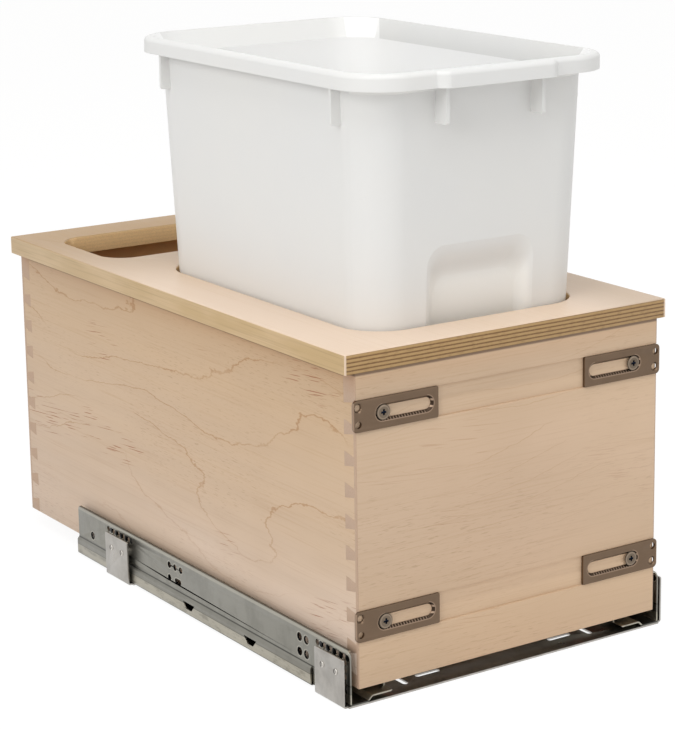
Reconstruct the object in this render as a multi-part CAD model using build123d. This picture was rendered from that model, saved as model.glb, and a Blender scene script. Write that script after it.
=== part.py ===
"""Pull-out waste cabinet: a dovetailed maple box with a plywood deck and a lift-out bin, carried
on two full-extension undermount runners that two steel cross plates tie together.

Frame: +X to the right, +Y to the back, +Z up from the cabinet floor. The pieces are drawn with
y = 0 on the front face of the box, and each is moved along Y when it is saved, so that the
origin is the bottom centre of the whole object. All sizes are in millimetres.
"""
import os
from math import atan2, degrees

from build123d import *

# ---- wooden box
overall_width = 327.6       # over the rivet heads on the clip tabs, which stand out furthest
box_depth = 571.5
box_height = 255.0
box_lift = 15.0             # lower edge of the box above the cabinet floor
side_thickness = 13.0
end_thickness = 16.0        # front and back boards
dovetail_lap = 3.0          # wood of the end boards left in front of the tails
dovetail_pitch = 25.4
dovetail_first = 19.7       # centre of the lowest tail above the lower edge
dovetail_neck = 13.0        # width of a tail at its shoulder
dovetail_flare = 2.6        # how far each flank of a tail leans out
panel_recess = 13.0         # underside of the bottom panel above the lower edge
panel_thickness = 6.0
groove_depth = 6.0          # depth of the groove that holds the bottom panel
panel_play = 0.4
runner_notch_margin = 2.0

# ---- plywood deck
deck_thickness = 16.0
deck_overhang = 9.0         # past each side of the box
deck_back_overhang = 2.0
deck_easing = 1.2
bin_hole_front_margin = 40.8
bin_hole_play = 3.0
storage_side_margin = 25.8
storage_back_margin = 42.5
storage_length = 114.0
storage_radius = 25.0
dowel_radius = 3.0
dowel_in_deck = 9.0
dowel_in_wall = 14.0
dowel_play = 0.1
dowel_end_margin = 60.0     # first side dowel from the end of the box
side_dowel_count = 5
end_dowel_x = 75.0

# ---- bin
bin_height = 457.9
bin_rest_gap = 0.1
bin_wall = 2.5
bin_floor = 3.0
bin_foot_half_x = 100.0
bin_foot_half_y = 150.0
bin_foot_radius = 33.0
bin_neck_half_x = 114.0     # body just below the flare of the rim
bin_neck_half_y = 171.0
bin_neck_radius = 38.0
bin_flare_height = 18.0
rim_overhang_x = 11.0
rim_overhang_y = 17.0
rim_radius = 48.0
rim_land = 5.5              # flat of the rim outside the flared wall
rim_thickness = 2.5
skirt_height = 13.5
handle_half_width = 54.0
handle_bulge = 7.0
fin_thickness = 3.0
fin_height = 30.0
front_fin_x = 47.0
side_fin_y = 133.5
grip_half_width = 50.0
grip_depth = 9.0
grip_height = 311.0         # top of the grip recess above the foot of the bin
grip_slope = 2.2            # how far its ceiling drops for each millimetre of depth
grip_flank = 0.75           # how far its sides draw in for each millimetre of depth
grip_radius = 18.0
grip_lead = 3.0             # how far the cutting shape starts in front of the wall

# ---- door brackets
bracket_length = 80.0
bracket_height = 25.4
bracket_thickness = 2.5
bracket_overhang = 2.5      # past the side of the box
bracket_outer_radius = 4.0
bracket_inner_radius = 1.5
bracket_groove_depth = 1.5
bracket_play = 0.1
upper_bracket_drop = 34.0   # bracket centre below the top of the box
lower_bracket_rise = 51.2   # bracket centre above the lower edge of the box
slot_width = 9.7
slot_bevel = 2.0
slot_outer_inset = 27.3     # outer end of the slot's centre line from the bracket's outer end
slot_run = 41.5
bracket_screw_inset = 28.1
door_hole_inset = 4.7
door_hole_offset = 6.6
door_hole_radius = 2.8
door_hole_bevel = 1.3
screw_head_radius = 6.35
screw_cone_foot = 2.4       # how far the head's cone stands out round the shank
screw_head_height = 1.75
screw_head_dome = 0.6
screw_head_sink = 0.4       # back of the head in front of the bracket's back face
screw_shank_radius = 2.2
screw_length = 13.0
screw_fit = 0.05
cross_slot_length = 5.6
cross_slot_width = 1.2
cross_slot_depth = 1.4

# ---- cross plates
plate_thickness = 1.5
plate_width = 45.0
plate_bend = 2.5
plate_front_inset = 1.8
rear_plate_start = 352.8
clip_gap = 4.0              # from the clip tab to the web of the runner
clip_width = 41.0
clip_height = 40.5
clip_corner = 1.5
floor_slot_width = 5.0
floor_slot_length = 24.0
floor_slot_spacing = 136.0
adjust_slot_length = 19.0
adjust_slot_spacing = 190.0
rivet_radius = 2.0
rivet_head_radius = 2.8
rivet_head_height = 0.5
rivet_collar_radius = 4.0
rivet_half_spacing = 9.7
rivet_height = 28.0

# ---- runners (sizes across are measured from the outer face of the web, towards the middle)
runner_length = 457.0
runner_gap = 7.0            # from the side of the box to the outer face of the web
runner_steel = 1.2
runner_height = 47.0
runner_lip = 3.0
runner_corner = 6.0
runner_bend = 2.0
profile_cut_margin = 1.0    # how far the cuts through the web reach past its lip
flange_step_start = 17.0
flange_step_end = 21.0
flange_step_rise = 4.0
flange_width = 40.0
upstand_height = 7.5
upstand_setback = 11.0
band_top = 18.0             # crease above the floor
band_bottom = 4.0
band_offset = 2.0
band_front_inset = 55.0
web_hole_radius = 3.0
web_hole_y = 68.3           # middle of the four-hole group behind the runner's front
web_hole_z = 31.0
web_hole_spacing_y = 10.0
web_hole_spacing_z = 12.4
row_hole_radius = 2.3
row_hole_y = 275.5
row_hole_z = 38.0
row_hole_pitch = 10.0
row_hole_drop = 11.8
row_slot_width = 3.9
rear_hole_y = 429.6
rear_hole_z = 25.5
tooth_radius = 2.7          # round cut-outs beside the clip tabs
tooth_rise = 0.2            # their centres above the tops of the tabs
tooth_pitch = 9.4
tooth_inset = 7.0
tooth_count = 5
front_tooth_pitch = 6.0
front_tooth_inset = 5.5
front_tooth_z = 12.0
front_tooth_count = 5
window_spacing = 102.0      # between the two trapezoid cut-outs in the band
window_y = 198.5
window_z = 10.0
window_top = 20.0
window_foot = 9.0
window_height = 6.0

# ---- sliding members inside the runners
slide_play = 0.15
roller_radius = 3.0
roller_length = 8.0
roller_count = 6
roller_pitch = 28.0
middle_start_u = 24.0
middle_width = 12.0
middle_inset = 18.0         # middle profile from each end of the runner
cage_thickness = 3.0
cage_width = 11.0
cage_length = 176.0
cage_centre_y = 240.0
cage_play = 0.4
drawer_profile_start_u = 21.5
drawer_profile_width = 16.5
drawer_profile_depth = 13.5
drawer_profile_front = 1.0  # behind the front board
hook_width = 14.0
hook_lower_z = 17.5
hook_upper_z = 26.0
hook_pin_radius = 2.5
hook_pin_length = 10.0
hook_pin_offset = 1.0       # past the middle of the hook's plate
hook_pin_play = 0.15
cleat_thickness = 15.7
cleat_gap = 0.5
cleat_end_gap = 1.0         # from the runners' flanges
cleat_drop = 11.0

# ---- soft-close units
closer_width = 13.0
closer_height = 12.0
closer_length = 125.0
closer_wall = 1.8
closer_gap = 0.4
closer_front = 330.0
damper_radius = 4.2
damper_length = 60.0
rod_radius = 1.5
rod_length = 6.0
catch_length = 14.0
catch_nub_length = 8.0
catch_nub_width = 4.0
catch_nub_rise = 2.1
catch_play = 0.3
striker_gap = 0.3
striker_width = 12.0
striker_rise = 0.9

# ---- front locking clips
lock_width = 30.0
lock_length = 55.0
lock_plate = 4.0
lock_gap = 1.0              # from the drawer profile and from the front board
lever_thickness = 3.5
lever_play = 0.3
lever_width = 12.0
lever_length = 38.0
lever_pivot_u = 52.0
lever_pivot_inset = 41.0
lever_pin_radius = 2.0
lever_pin_play = 0.1
lever_pin_head_radius = 4.0
lever_pin_head = 1.0
tooth_length = 8.0
tooth_reach = 0.3           # past the far face of the drawer profile
tooth_from_pivot = 19.0
tooth_slot_front_play = 4.0
tooth_slot_back_play = 2.0
tooth_slot_play = 1.0
tab_length = 12.0
tab_reach = 4.0
lock_screw_radius = 1.5
lock_screw_head_radius = 3.2
lock_screw_head = 2.0
lock_screw_bite = 5.0
lock_screw_inset = 4.2
lock_screw_end = 10.0

# ---- places worked out from the sizes above
box_width = overall_width - 2 * (runner_gap + clip_gap + plate_thickness + rivet_head_height)
box_half = box_width / 2
box_top = box_lift + box_height
inner_half = box_half - side_thickness
panel_bottom = box_lift + panel_recess
panel_top = panel_bottom + panel_thickness
deck_top = box_top + deck_thickness
deck_half = box_half + deck_overhang
deck_back = box_depth + deck_back_overhang
web_x = box_half + runner_gap
runner_front = plate_front_inset
runner_back = runner_front + runner_length
flange_z = plate_thickness
track_z = flange_z + flange_step_rise + runner_steel
drawer_top_z = panel_bottom - runner_steel
middle_height = drawer_top_z - track_z - 4 * roller_radius - 4 * slide_play
lower_roller_z = track_z + slide_play + roller_radius
middle_z = lower_roller_z + roller_radius + slide_play
upper_roller_z = middle_z + middle_height + slide_play + roller_radius
drawer_profile_y = end_thickness + drawer_profile_front
clip_face_x = web_x + clip_gap + plate_thickness
bin_foot_z = panel_top + bin_rest_gap
bin_neck_z = bin_height - bin_flare_height
rim_half_x = bin_neck_half_x + rim_overhang_x
rim_half_y = bin_neck_half_y + rim_overhang_y
bracket_face_y = bracket_groove_depth - bracket_play - bracket_thickness
screw_face_y = bracket_face_y + bracket_thickness - screw_head_sink - screw_head_height - screw_head_dome
middle_y = (screw_face_y + deck_back) / 2


def bin_half_at(height):
    """Half width and half length of the bin's body at a height above its foot."""
    share = height / bin_neck_z
    half_x = bin_foot_half_x + (bin_neck_half_x - bin_foot_half_x) * share
    half_y = bin_foot_half_y + (bin_neck_half_y - bin_foot_half_y) * share
    radius = bin_foot_radius + (bin_neck_radius - bin_foot_radius) * share
    return half_x, half_y, radius


deck_level_half_x, deck_level_half_y, deck_level_radius = bin_half_at(deck_top - bin_foot_z)
bin_y = bin_hole_front_margin + deck_level_half_y + bin_hole_play


# ---- helpers
def save(node, *solids):
    """Write one node with its solids side by side, moved to the object's own origin."""
    shape = solids[0] if len(solids) == 1 else Compound(children=list(solids))
    export_step(Pos(0, -middle_y, 0) * shape, f"parts/{node}.step")


def block(x0, x1, y0, y1, z0, z1):
    """A box between two corners."""
    middle = Pos((x0 + x1) / 2, (y0 + y1) / 2, (z0 + z1) / 2)
    return middle * Box(abs(x1 - x0), abs(y1 - y0), abs(z1 - z0))


def rod_x(radius, x0, x1, y, z):
    return Pos((x0 + x1) / 2, y, z) * Rot(0, 90, 0) * Cylinder(radius, abs(x1 - x0))


def rod_y(radius, y0, y1, x, z):
    return Pos(x, (y0 + y1) / 2, z) * Rot(90, 0, 0) * Cylinder(radius, abs(y1 - y0))


def rod_z(radius, z0, z1, x, y):
    return Pos(x, y, (z0 + z1) / 2) * Cylinder(radius, abs(z1 - z0))


def one_solid(shape):
    """The single solid of a boolean result."""
    return shape.solids()[0] if isinstance(shape, Compound) and len(shape.solids()) == 1 else shape


def mirrored(shape):
    """The right-hand twin of a left-hand piece."""
    return shape.mirror(Plane.YZ)


def rail_x(u):
    """X of a place on the left runner, u measured inwards from the web's outer face."""
    return -web_x + u


def bent_sheet(points, thickness, bend):
    """Section of a folded sheet: the points of its outer face, and the sheet on one side of them."""
    path = FilletPolyline(*points, radius=bend)
    return make_face(offset(path, amount=thickness, side=Side.LEFT).edges())


def along_y(section, start, end):
    """Extrude a section drawn in the X-Z plane between two y places."""
    return extrude(Pos(0, start, 0) * (Plane.XZ * section), amount=end - start, dir=(0, 1, 0))


# ---- wooden box
def tail_places():
    """Heights of the dovetails' centres."""
    count = int((box_height - dovetail_first) // dovetail_pitch)
    return [box_lift + dovetail_first + k * dovetail_pitch for k in range(count)]


def tails(side, at_back=False):
    """The wedge-shaped tails on one end of a side board."""
    shoulder, tip = (end_thickness, dovetail_lap)
    if at_back:
        shoulder, tip = box_depth - shoulder, box_depth - tip
    wedges = []
    for z in tail_places():
        narrow, wide = dovetail_neck / 2, dovetail_neck / 2 + dovetail_flare
        corners = [(shoulder, z - narrow), (tip, z - wide), (tip, z + wide), (shoulder, z + narrow)]
        face = Pos(side * box_half, 0, 0) * (Plane.YZ * make_face(Polyline(*corners, close=True)))
        wedges.append(extrude(face, amount=side_thickness, dir=(-side, 0, 0)))
    return wedges


def bottom_panel_space(play=0.0):
    """The space of the bottom panel, which the four walls are grooved for."""
    half = inner_half + groove_depth - play
    front = end_thickness - groove_depth + play
    return block(-half, half, front, box_depth - front, panel_bottom, panel_top)


def side_dowel_places():
    step = (box_depth - 2 * dowel_end_margin) / (side_dowel_count - 1)
    return [dowel_end_margin + k * step for k in range(side_dowel_count)]


def dowel_places():
    """X and Y of every deck dowel."""
    side_x = box_half - side_thickness / 2
    places = [(side * side_x, y) for side in (-1, 1) for y in side_dowel_places()]
    ends = (end_thickness / 2, box_depth - end_thickness / 2)
    return places + [(side * end_dowel_x, y) for side in (-1, 1) for y in ends]


def dowels(radius, below, above):
    return [rod_z(radius, box_top - below, box_top + above, x, y) for x, y in dowel_places()]


def dowel_holes():
    return dowels(dowel_radius + dowel_play, dowel_in_wall + dowel_play, dowel_in_deck + dowel_play)


def side_board():
    board = block(-box_half, -inner_half, end_thickness, box_depth - end_thickness, box_lift, box_top)
    board = board + tails(-1) + tails(-1, at_back=True)
    return one_solid(board - bottom_panel_space() - dowel_holes())


def end_board(front):
    """The front or back board with its tail sockets."""
    y0 = 0 if front else box_depth - end_thickness
    board = block(-box_half, box_half, y0, y0 + end_thickness, box_lift, box_top)
    return board - tails(-1, not front) - tails(1, not front) - bottom_panel_space() - dowel_holes()


def bracket_heights():
    return {"upper": box_top - upper_bracket_drop, "lower": box_lift + lower_bracket_rise}


def screw_x():
    return box_half + bracket_overhang - bracket_screw_inset


def front_board():
    board = end_board(front=True)
    half_height = bracket_height / 2 + bracket_play
    for z in bracket_heights().values():
        board -= block(-box_half, box_half, 0, bracket_groove_depth, z - half_height, z + half_height)
        for side in (-1, 1):
            board -= rod_y(screw_shank_radius + screw_fit, 0, screw_length, side * screw_x(), z)
    return one_solid(board)


def back_board():
    """The back board is notched so that it can pass over the runners and the soft-close units."""
    board = end_board(front=False)
    inner = web_x - flange_width - closer_gap - closer_width - runner_notch_margin
    front = box_depth - end_thickness
    for side in (-1, 1):
        board -= block(side * inner, side * inner_half, front, box_depth, box_lift, panel_bottom)
    return one_solid(board)


def lock_screw_places():
    """X and Y of the screws of the left locking clip."""
    x = rail_x(drawer_profile_start_u + drawer_profile_width + lock_gap + lock_width - lock_screw_inset)
    y0 = end_thickness + lock_gap
    return [(x, y0 + lock_screw_end), (x, y0 + lock_length - lock_screw_end)]


def lock_screws(radius):
    top = panel_bottom + lock_screw_bite
    left = [rod_z(radius, panel_bottom - lock_plate, top, x, y) for x, y in lock_screw_places()]
    return left + [mirrored(screw) for screw in left]


def bottom_panel():
    return one_solid(bottom_panel_space(panel_play) - lock_screws(lock_screw_radius + screw_fit))


# ---- deck
def deck():
    board = block(-deck_half, deck_half, 0, deck_back, box_top, deck_top)
    hole_x, hole_y = deck_level_half_x + bin_hole_play, deck_level_half_y + bin_hole_play
    hole = RectangleRounded(2 * hole_x, 2 * hole_y, deck_level_radius + bin_hole_play)
    storage_y = deck_back - storage_back_margin - storage_length / 2
    storage = RectangleRounded(2 * (deck_half - storage_side_margin), storage_length, storage_radius)
    holes = Pos(0, bin_y, box_top) * hole + Pos(0, storage_y, box_top) * storage
    board -= extrude(holes, amount=deck_thickness)
    board = fillet(board.edges().group_by(Axis.Z)[-1], deck_easing)
    return one_solid(board - dowel_holes())


# ---- bin
def rounded_section(half_x, half_y, radius, z):
    return Pos(0, bin_y, bin_foot_z + z) * RectangleRounded(2 * half_x, 2 * half_y, radius)


def body_loft(inset, foot):
    """The tapered body and its flare, drawn in by a wall thickness and from a foot height."""
    foot_x, foot_y, foot_r = bin_half_at(foot)
    lower = rounded_section(foot_x - inset, foot_y - inset, foot_r - inset, foot)
    neck = rounded_section(
        bin_neck_half_x - inset, bin_neck_half_y - inset, bin_neck_radius - inset, bin_neck_z
    )
    back = rim_land + inset
    mouth = rounded_section(rim_half_x - back, rim_half_y - back, rim_radius - back, bin_height)
    return loft([lower, neck], ruled=True) + loft([neck, mouth], ruled=True)


def rim_outline():
    """The rim seen from above, with the wider hand-hold in the middle of its front."""
    outline = RectangleRounded(2 * rim_half_x, 2 * rim_half_y, rim_radius)
    reach = rim_radius / 2 + handle_bulge
    hold = RectangleRounded(2 * handle_half_width, reach, handle_bulge * 0.9)
    return outline + Pos(0, -rim_half_y - handle_bulge + reach / 2) * hold


def rim():
    outline = rim_outline()
    skirt = outline - offset(outline, -rim_thickness)
    place = Pos(0, bin_y, bin_foot_z + bin_height)
    return extrude(place * outline, amount=-rim_thickness) + extrude(place * skirt, amount=-skirt_height)


def fin(half_length, place):
    """A gusset under the rim, with a rounded lower corner."""
    drop = fin_height + skirt_height
    shoulder, toe = (half_length, -drop * 0.8), (half_length * 0.45, -drop)
    outline = make_face(Polyline((0, 0), (half_length, 0), shoulder, toe, (0, -drop), close=True))
    plate = extrude(Plane.XZ * outline, amount=fin_thickness / 2, both=True)
    return place * plate


def fins():
    z = bin_foot_z + bin_height - rim_thickness
    out_x, out_y = rim_half_x - rim_thickness, rim_half_y - rim_thickness
    root = bin_wall / 2
    start_x = bin_half_at(bin_neck_z - fin_height)[0] - root
    start_y = bin_half_at(bin_neck_z - fin_height)[1] - root
    made = []
    for side in (-1, 1):
        turn = 0 if side > 0 else 180
        for y in (-side_fin_y, side_fin_y):
            made.append(fin(out_x - start_x, Pos(side * start_x, bin_y + y, z) * Rot(0, 0, turn)))
        for x in (-front_fin_x, front_fin_x):
            made.append(fin(out_y - start_y, Pos(x, bin_y + side * start_y, z) * Rot(0, 0, side * 90)))
    return made


def grip_space(wall):
    """The recess low on the front of the bin, or with a wall thickness the outside of its wall."""
    lean = (0, bin_foot_half_y - bin_neck_half_y, bin_neck_z)
    foot = (0, bin_y - bin_foot_half_y, bin_foot_z)
    face = Plane(origin=foot, x_dir=(1, 0, 0), z_dir=(0, -lean[2], lean[1]))
    sections = []
    for depth in (-grip_lead, grip_depth + wall):
        half = grip_half_width + wall - grip_flank * depth
        top = grip_height + wall - grip_slope * depth
        sections.append(face.offset(-depth) * RectangleRounded(2 * half, 2 * top, grip_radius))
    return loft(sections, ruled=True)


def trash_bin():
    shell = body_loft(0, 0) - (body_loft(bin_wall, bin_floor) - grip_space(bin_wall))
    shell = shell - grip_space(0)
    keep_out = body_loft(bin_wall, bin_floor)
    around = [piece - keep_out for piece in (rim(), *fins())]
    return one_solid(shell + around)


# ---- door brackets
def door_bracket():
    """The upper left bracket; the others are this one mirrored or moved."""
    z = bracket_heights()["upper"]
    outer = -(box_half + bracket_overhang)
    inner = outer + bracket_length
    back = bracket_face_y + bracket_thickness
    half = bracket_height / 2
    plate = block(outer, inner, bracket_face_y, back, z - half, z + half)
    upright = plate.edges().filter_by(Axis.Y).group_by(Axis.X)
    plate = fillet(upright[0], bracket_outer_radius)
    plate = fillet(plate.edges().filter_by(Axis.Y).group_by(Axis.X)[-1], bracket_inner_radius)
    slot_middle = Pos(outer + slot_outer_inset + slot_run / 2, 0, z)
    face = Pos(0, bracket_face_y, 0)
    narrow = SlotCenterToCenter(slot_run, slot_width)
    wide = SlotCenterToCenter(slot_run, slot_width + 2 * slot_bevel)
    plate -= extrude(face * slot_middle * (Plane.XZ * narrow), amount=bracket_thickness, dir=(0, 1, 0))
    bevel_foot = face * Pos(0, slot_bevel, 0) * slot_middle * (Plane.XZ * narrow)
    plate -= loft([face * slot_middle * (Plane.XZ * wide), bevel_foot], ruled=True)
    hole_x = outer + door_hole_inset
    for offset_z in (-door_hole_offset, door_hole_offset):
        plate -= rod_y(door_hole_radius, bracket_face_y, back, hole_x, z + offset_z)
    sink = Cone(door_hole_radius + door_hole_bevel, door_hole_radius, door_hole_bevel)
    sink_place = Pos(hole_x, bracket_face_y + door_hole_bevel / 2, z + door_hole_offset)
    return one_solid(plate - sink_place * Rot(-90, 0, 0) * sink)


def door_brackets():
    left = door_bracket()
    middle = Pos(0, 0, bracket_heights()["upper"])
    turned = middle * Rot(0, 180, 0) * middle.inverse()
    drop = Pos(0, 0, bracket_heights()["lower"] - bracket_heights()["upper"])
    right = turned * left
    return {
        "upper_left_door_bracket": left,
        "upper_right_door_bracket": right,
        "lower_left_door_bracket": drop * left,
        "lower_right_door_bracket": drop * right,
    }


def bracket_screw(x, z):
    """A cross-head wood screw whose conical head stands in the bracket's bevelled slot."""
    tip = screw_length - screw_fit
    head_back = bracket_face_y + bracket_thickness - screw_head_sink
    head_front = head_back - screw_head_height
    cone = Cone(screw_head_radius, screw_shank_radius + screw_cone_foot, screw_head_height)
    screw = Pos(x, head_back - screw_head_height / 2, z) * Rot(-90, 0, 0) * cone
    dome = Cone(screw_head_radius - 2 * screw_head_dome, screw_head_radius, screw_head_dome)
    screw += Pos(x, head_front - screw_head_dome / 2, z) * Rot(-90, 0, 0) * dome
    screw += rod_y(screw_shank_radius, head_back, tip, x, z)
    front = head_front - screw_head_dome
    half_long, half_wide = cross_slot_length / 2, cross_slot_width / 2
    deep = front + cross_slot_depth
    screw -= block(x - half_long, x + half_long, front, deep, z - half_wide, z + half_wide)
    screw -= block(x - half_wide, x + half_wide, front, deep, z - half_long, z + half_long)
    return one_solid(screw)


def bracket_screws():
    return [bracket_screw(side * screw_x(), z) for z in bracket_heights().values() for side in (-1, 1)]


# ---- cross plates
def clip_middles():
    """Y of the middle of the front and rear clip tabs."""
    return plate_front_inset + plate_width / 2, rear_plate_start + plate_width / 2


def cross_plate(start):
    """A strip across the floor whose ends are bent up outside the runners as clip tabs."""
    middle = start + plate_width / 2
    outer = clip_face_x
    strip = block(-outer, outer, start, start + plate_width, 0, plate_thickness)
    for side in (-1, 1):
        x0, x1 = side * (outer - plate_thickness), side * outer
        strip += block(x0, x1, start, start + plate_width, 0, clip_height)
    for side in (-1, 1):
        for end in (-1, 1):
            edge = middle + end * clip_width / 2
            limit = middle + end * plate_width
            strip -= block(side * outer, side * (web_x + plate_bend / 2), edge, limit, 0, clip_height)
    lengthwise = strip.edges().filter_by(Axis.Y)
    outside = lengthwise.filter_by(lambda edge: edge.center().Z < 0.1 and abs(edge.center().X) > outer - 0.1)
    strip = fillet(outside, plate_bend)
    strip = fillet(strip.edges().filter_by(Axis.X).group_by(Axis.Z)[-1], clip_corner)
    slot = SlotOverall(floor_slot_length, floor_slot_width)
    cross = SlotOverall(adjust_slot_length, floor_slot_width, rotation=90)
    for side in (-1, 1):
        cuts = Pos(side * floor_slot_spacing / 2, middle, 0) * slot
        cuts += Pos(side * adjust_slot_spacing / 2, middle, 0) * cross
        strip -= extrude(cuts, amount=plate_thickness)
        for y in (middle - rivet_half_spacing, middle + rivet_half_spacing):
            x0, x1 = side * (outer - plate_thickness), side * outer
            strip -= rod_x(rivet_radius + screw_fit, x0, x1, y, rivet_height)
    return one_solid(strip)


def clip_rivet(side, y):
    """A shouldered rivet from the clip tab to the runner's web."""
    tab_out, tab_in = clip_face_x, clip_face_x - plate_thickness
    web_in = web_x - runner_steel
    spans = (
        (rivet_head_radius, tab_out, tab_out + rivet_head_height),
        (rivet_radius, web_in - rivet_head_height, tab_out),
        (rivet_collar_radius, web_x, tab_in),
        (rivet_head_radius, web_in - rivet_head_height, web_in),
    )
    pieces = [rod_x(radius, side * a, side * b, y, rivet_height) for radius, a, b in spans]
    return one_solid(pieces[0] + pieces[1:])


def rivet_places():
    return [middle + way * rivet_half_spacing for middle in clip_middles() for way in (-1, 1)]


def clip_rivets():
    return [clip_rivet(side, y) for side in (-1, 1) for y in rivet_places()]


# ---- runners
def profile_section(swaged):
    """Section of the left cabinet profile, from the inner upstand round to the lip."""
    z0, z1 = flange_z, flange_z + flange_step_rise
    inner = [(flange_width, z1 + upstand_height), (flange_width, z1)]
    inner += [(flange_step_end, z1), (flange_step_start, z0)]
    out = -band_offset if swaged else 0
    web = [(0, z0), (0, runner_height), (runner_lip, runner_height)]
    if swaged:
        web = [(out, z0), (out, band_top - band_offset), (0, band_top), *web[1:]]
    points = [(rail_x(u), z) for u, z in inner + web]
    return bent_sheet(points[::-1], -runner_steel, runner_bend)


def web_hole_places():
    """Y and Z of the round holes in the web, with their radii."""
    places = []
    for j in (-0.5, 0.5):
        for k in (-0.5, 0.5):
            y = runner_front + web_hole_y + j * web_hole_spacing_y
            places.append((y, web_hole_z + k * web_hole_spacing_z, web_hole_radius))
    for k in (-1, 0, 1):
        places.append((runner_front + row_hole_y + k * row_hole_pitch, row_hole_z, row_hole_radius))
    places.append((runner_front + row_hole_y + row_hole_pitch, row_hole_z - row_hole_drop, row_hole_radius))
    places.append((runner_front + rear_hole_y, rear_hole_z, web_hole_radius))
    places += [(y, rivet_height, rivet_radius + screw_fit) for y in rivet_places()]
    return places


def tooth_places():
    """Small round cut-outs along the top of each clip tab, and down the web by the front one."""
    places = []
    for middle in clip_middles():
        start = middle - clip_width / 2 + tooth_inset
        places += [(start + k * tooth_pitch, clip_height + tooth_rise) for k in range(tooth_count)]
    front = clip_middles()[0] - clip_width / 2 + front_tooth_inset
    return places + [(front, front_tooth_z + k * front_tooth_pitch) for k in range(front_tooth_count)]


def cabinet_profile():
    """The fixed profile of the left runner."""
    band_start = runner_front + band_front_inset
    body = along_y(profile_section(False), runner_front, band_start)
    body += along_y(profile_section(True), band_start, runner_back)
    across = (rail_x(-2 * band_offset), rail_x(runner_lip + profile_cut_margin))
    upstand_front = runner_front + upstand_setback
    x0, x1 = rail_x(flange_step_end), rail_x(flange_width)
    body -= block(x0, x1, runner_front, upstand_front, track_z, runner_height)
    corner = rod_x(runner_corner, *across, runner_front + runner_corner, runner_height - runner_corner)
    body -= block(*across, runner_front, runner_front + runner_corner, runner_height - runner_corner,
                  runner_height) - corner
    for y, z, radius in web_hole_places():
        body -= rod_x(radius, *across, y, z)
    for y, z in tooth_places():
        body -= rod_x(tooth_radius, *across, y, z)
    slot_y = runner_front + row_hole_y - row_hole_pitch / 2
    slot_place = Pos(across[0], slot_y, row_hole_z - row_hole_drop)
    slot = slot_place * (Plane.YZ * SlotOverall(row_hole_pitch, row_slot_width))
    body -= extrude(slot, amount=across[1] - across[0], dir=(1, 0, 0))
    window_angle = degrees(atan2(window_height, (window_top - window_foot) / 2))
    for way in (-0.5, 0.5):
        window = Trapezoid(window_top, window_height, window_angle)
        place = Pos(across[0], runner_front + window_y + way * window_spacing, window_z)
        face = place * (Plane.YZ * Rot(0, 0, 180) * window)
        body -= extrude(face, amount=band_offset * 2, dir=(1, 0, 0))
    return one_solid(body)


def middle_profile():
    """The left intermediate profile, a closed tube between the two roller sets."""
    u = middle_start_u + middle_width / 2
    place = Pos(rail_x(u), middle_z + middle_height / 2)
    outer = Rectangle(middle_width, middle_height)
    bore = Rectangle(middle_width - 2 * runner_steel, middle_height - 2 * runner_steel)
    return along_y(place * (outer - bore), runner_front + middle_inset, runner_back - middle_inset)


def roller_places():
    start = cage_centre_y - roller_pitch * (roller_count - 1) / 2
    return [start + k * roller_pitch for k in range(roller_count)]


def roller_cage(z):
    """A plastic cage with a window for each roller."""
    x = rail_x(middle_start_u + middle_width / 2)
    half_y = cage_length / 2
    half_x, half_z = cage_width / 2, cage_thickness / 2
    y0, y1 = cage_centre_y - half_y, cage_centre_y + half_y
    cage = block(x - half_x, x + half_x, y0, y1, z - half_z, z + half_z)
    reach_x, reach_y = roller_length / 2 + cage_play, roller_radius + cage_play
    for y in roller_places():
        cage -= block(x - reach_x, x + reach_x, y - reach_y, y + reach_y, z - half_z, z + half_z)
    return one_solid(cage)


def rollers(z):
    x = rail_x(middle_start_u + middle_width / 2)
    half = roller_length / 2
    return [rod_x(roller_radius, x - half, x + half, y, z) for y in roller_places()]


def hook_pin_place():
    """X and Z of the left hook pin."""
    u = drawer_profile_start_u + drawer_profile_width + hook_width / 2 + hook_pin_offset
    return rail_x(u), (hook_lower_z + hook_upper_z) / 2


def striker_front():
    return closer_front + closer_wall + catch_length - catch_nub_length + catch_reach() - striker_gap


def catch_reach():
    """How far the catch stands back inside its unit: its nub's place when the drawer is closed."""
    return closer_length - 2 * closer_wall - damper_length - rod_length - catch_length


def drawer_profile():
    """The left profile that carries the box: an inverted channel with a hook and a striker."""
    t = runner_steel
    u0, u1 = drawer_profile_start_u, drawer_profile_start_u + drawer_profile_width
    y0, y1 = drawer_profile_y, runner_back
    foot = panel_bottom - drawer_profile_depth
    section = block(rail_x(u0), rail_x(u1), y0, y1, foot, panel_bottom)
    section -= block(rail_x(u0 + t), rail_x(u1 - t), y0, y1, foot, panel_bottom - t)
    section += block(rail_x(u1 - t), rail_x(u1 + hook_width), y1 - t, y1, hook_lower_z, hook_upper_z)
    pin_x, pin_z = hook_pin_place()
    section += rod_y(hook_pin_radius, runner_back, runner_back + hook_pin_length, pin_x, pin_z)
    y = striker_front()
    low = flange_z + closer_height + striker_rise
    section += block(rail_x(u1 - t), rail_x(u1 + striker_width), y - t, y, low, panel_bottom - t)
    tooth_y = lever_pivot_y() - tooth_from_pivot
    y0 = tooth_y - tooth_length / 2 - tooth_slot_front_play
    y1 = tooth_y + tooth_length / 2 + tooth_slot_back_play
    z0, z1 = lever_low_z() - tooth_slot_play, lever_high_z() + tooth_slot_play
    section -= block(rail_x(u1 - t), rail_x(u1), y0, y1, z0, z1)
    return one_solid(section)


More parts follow.
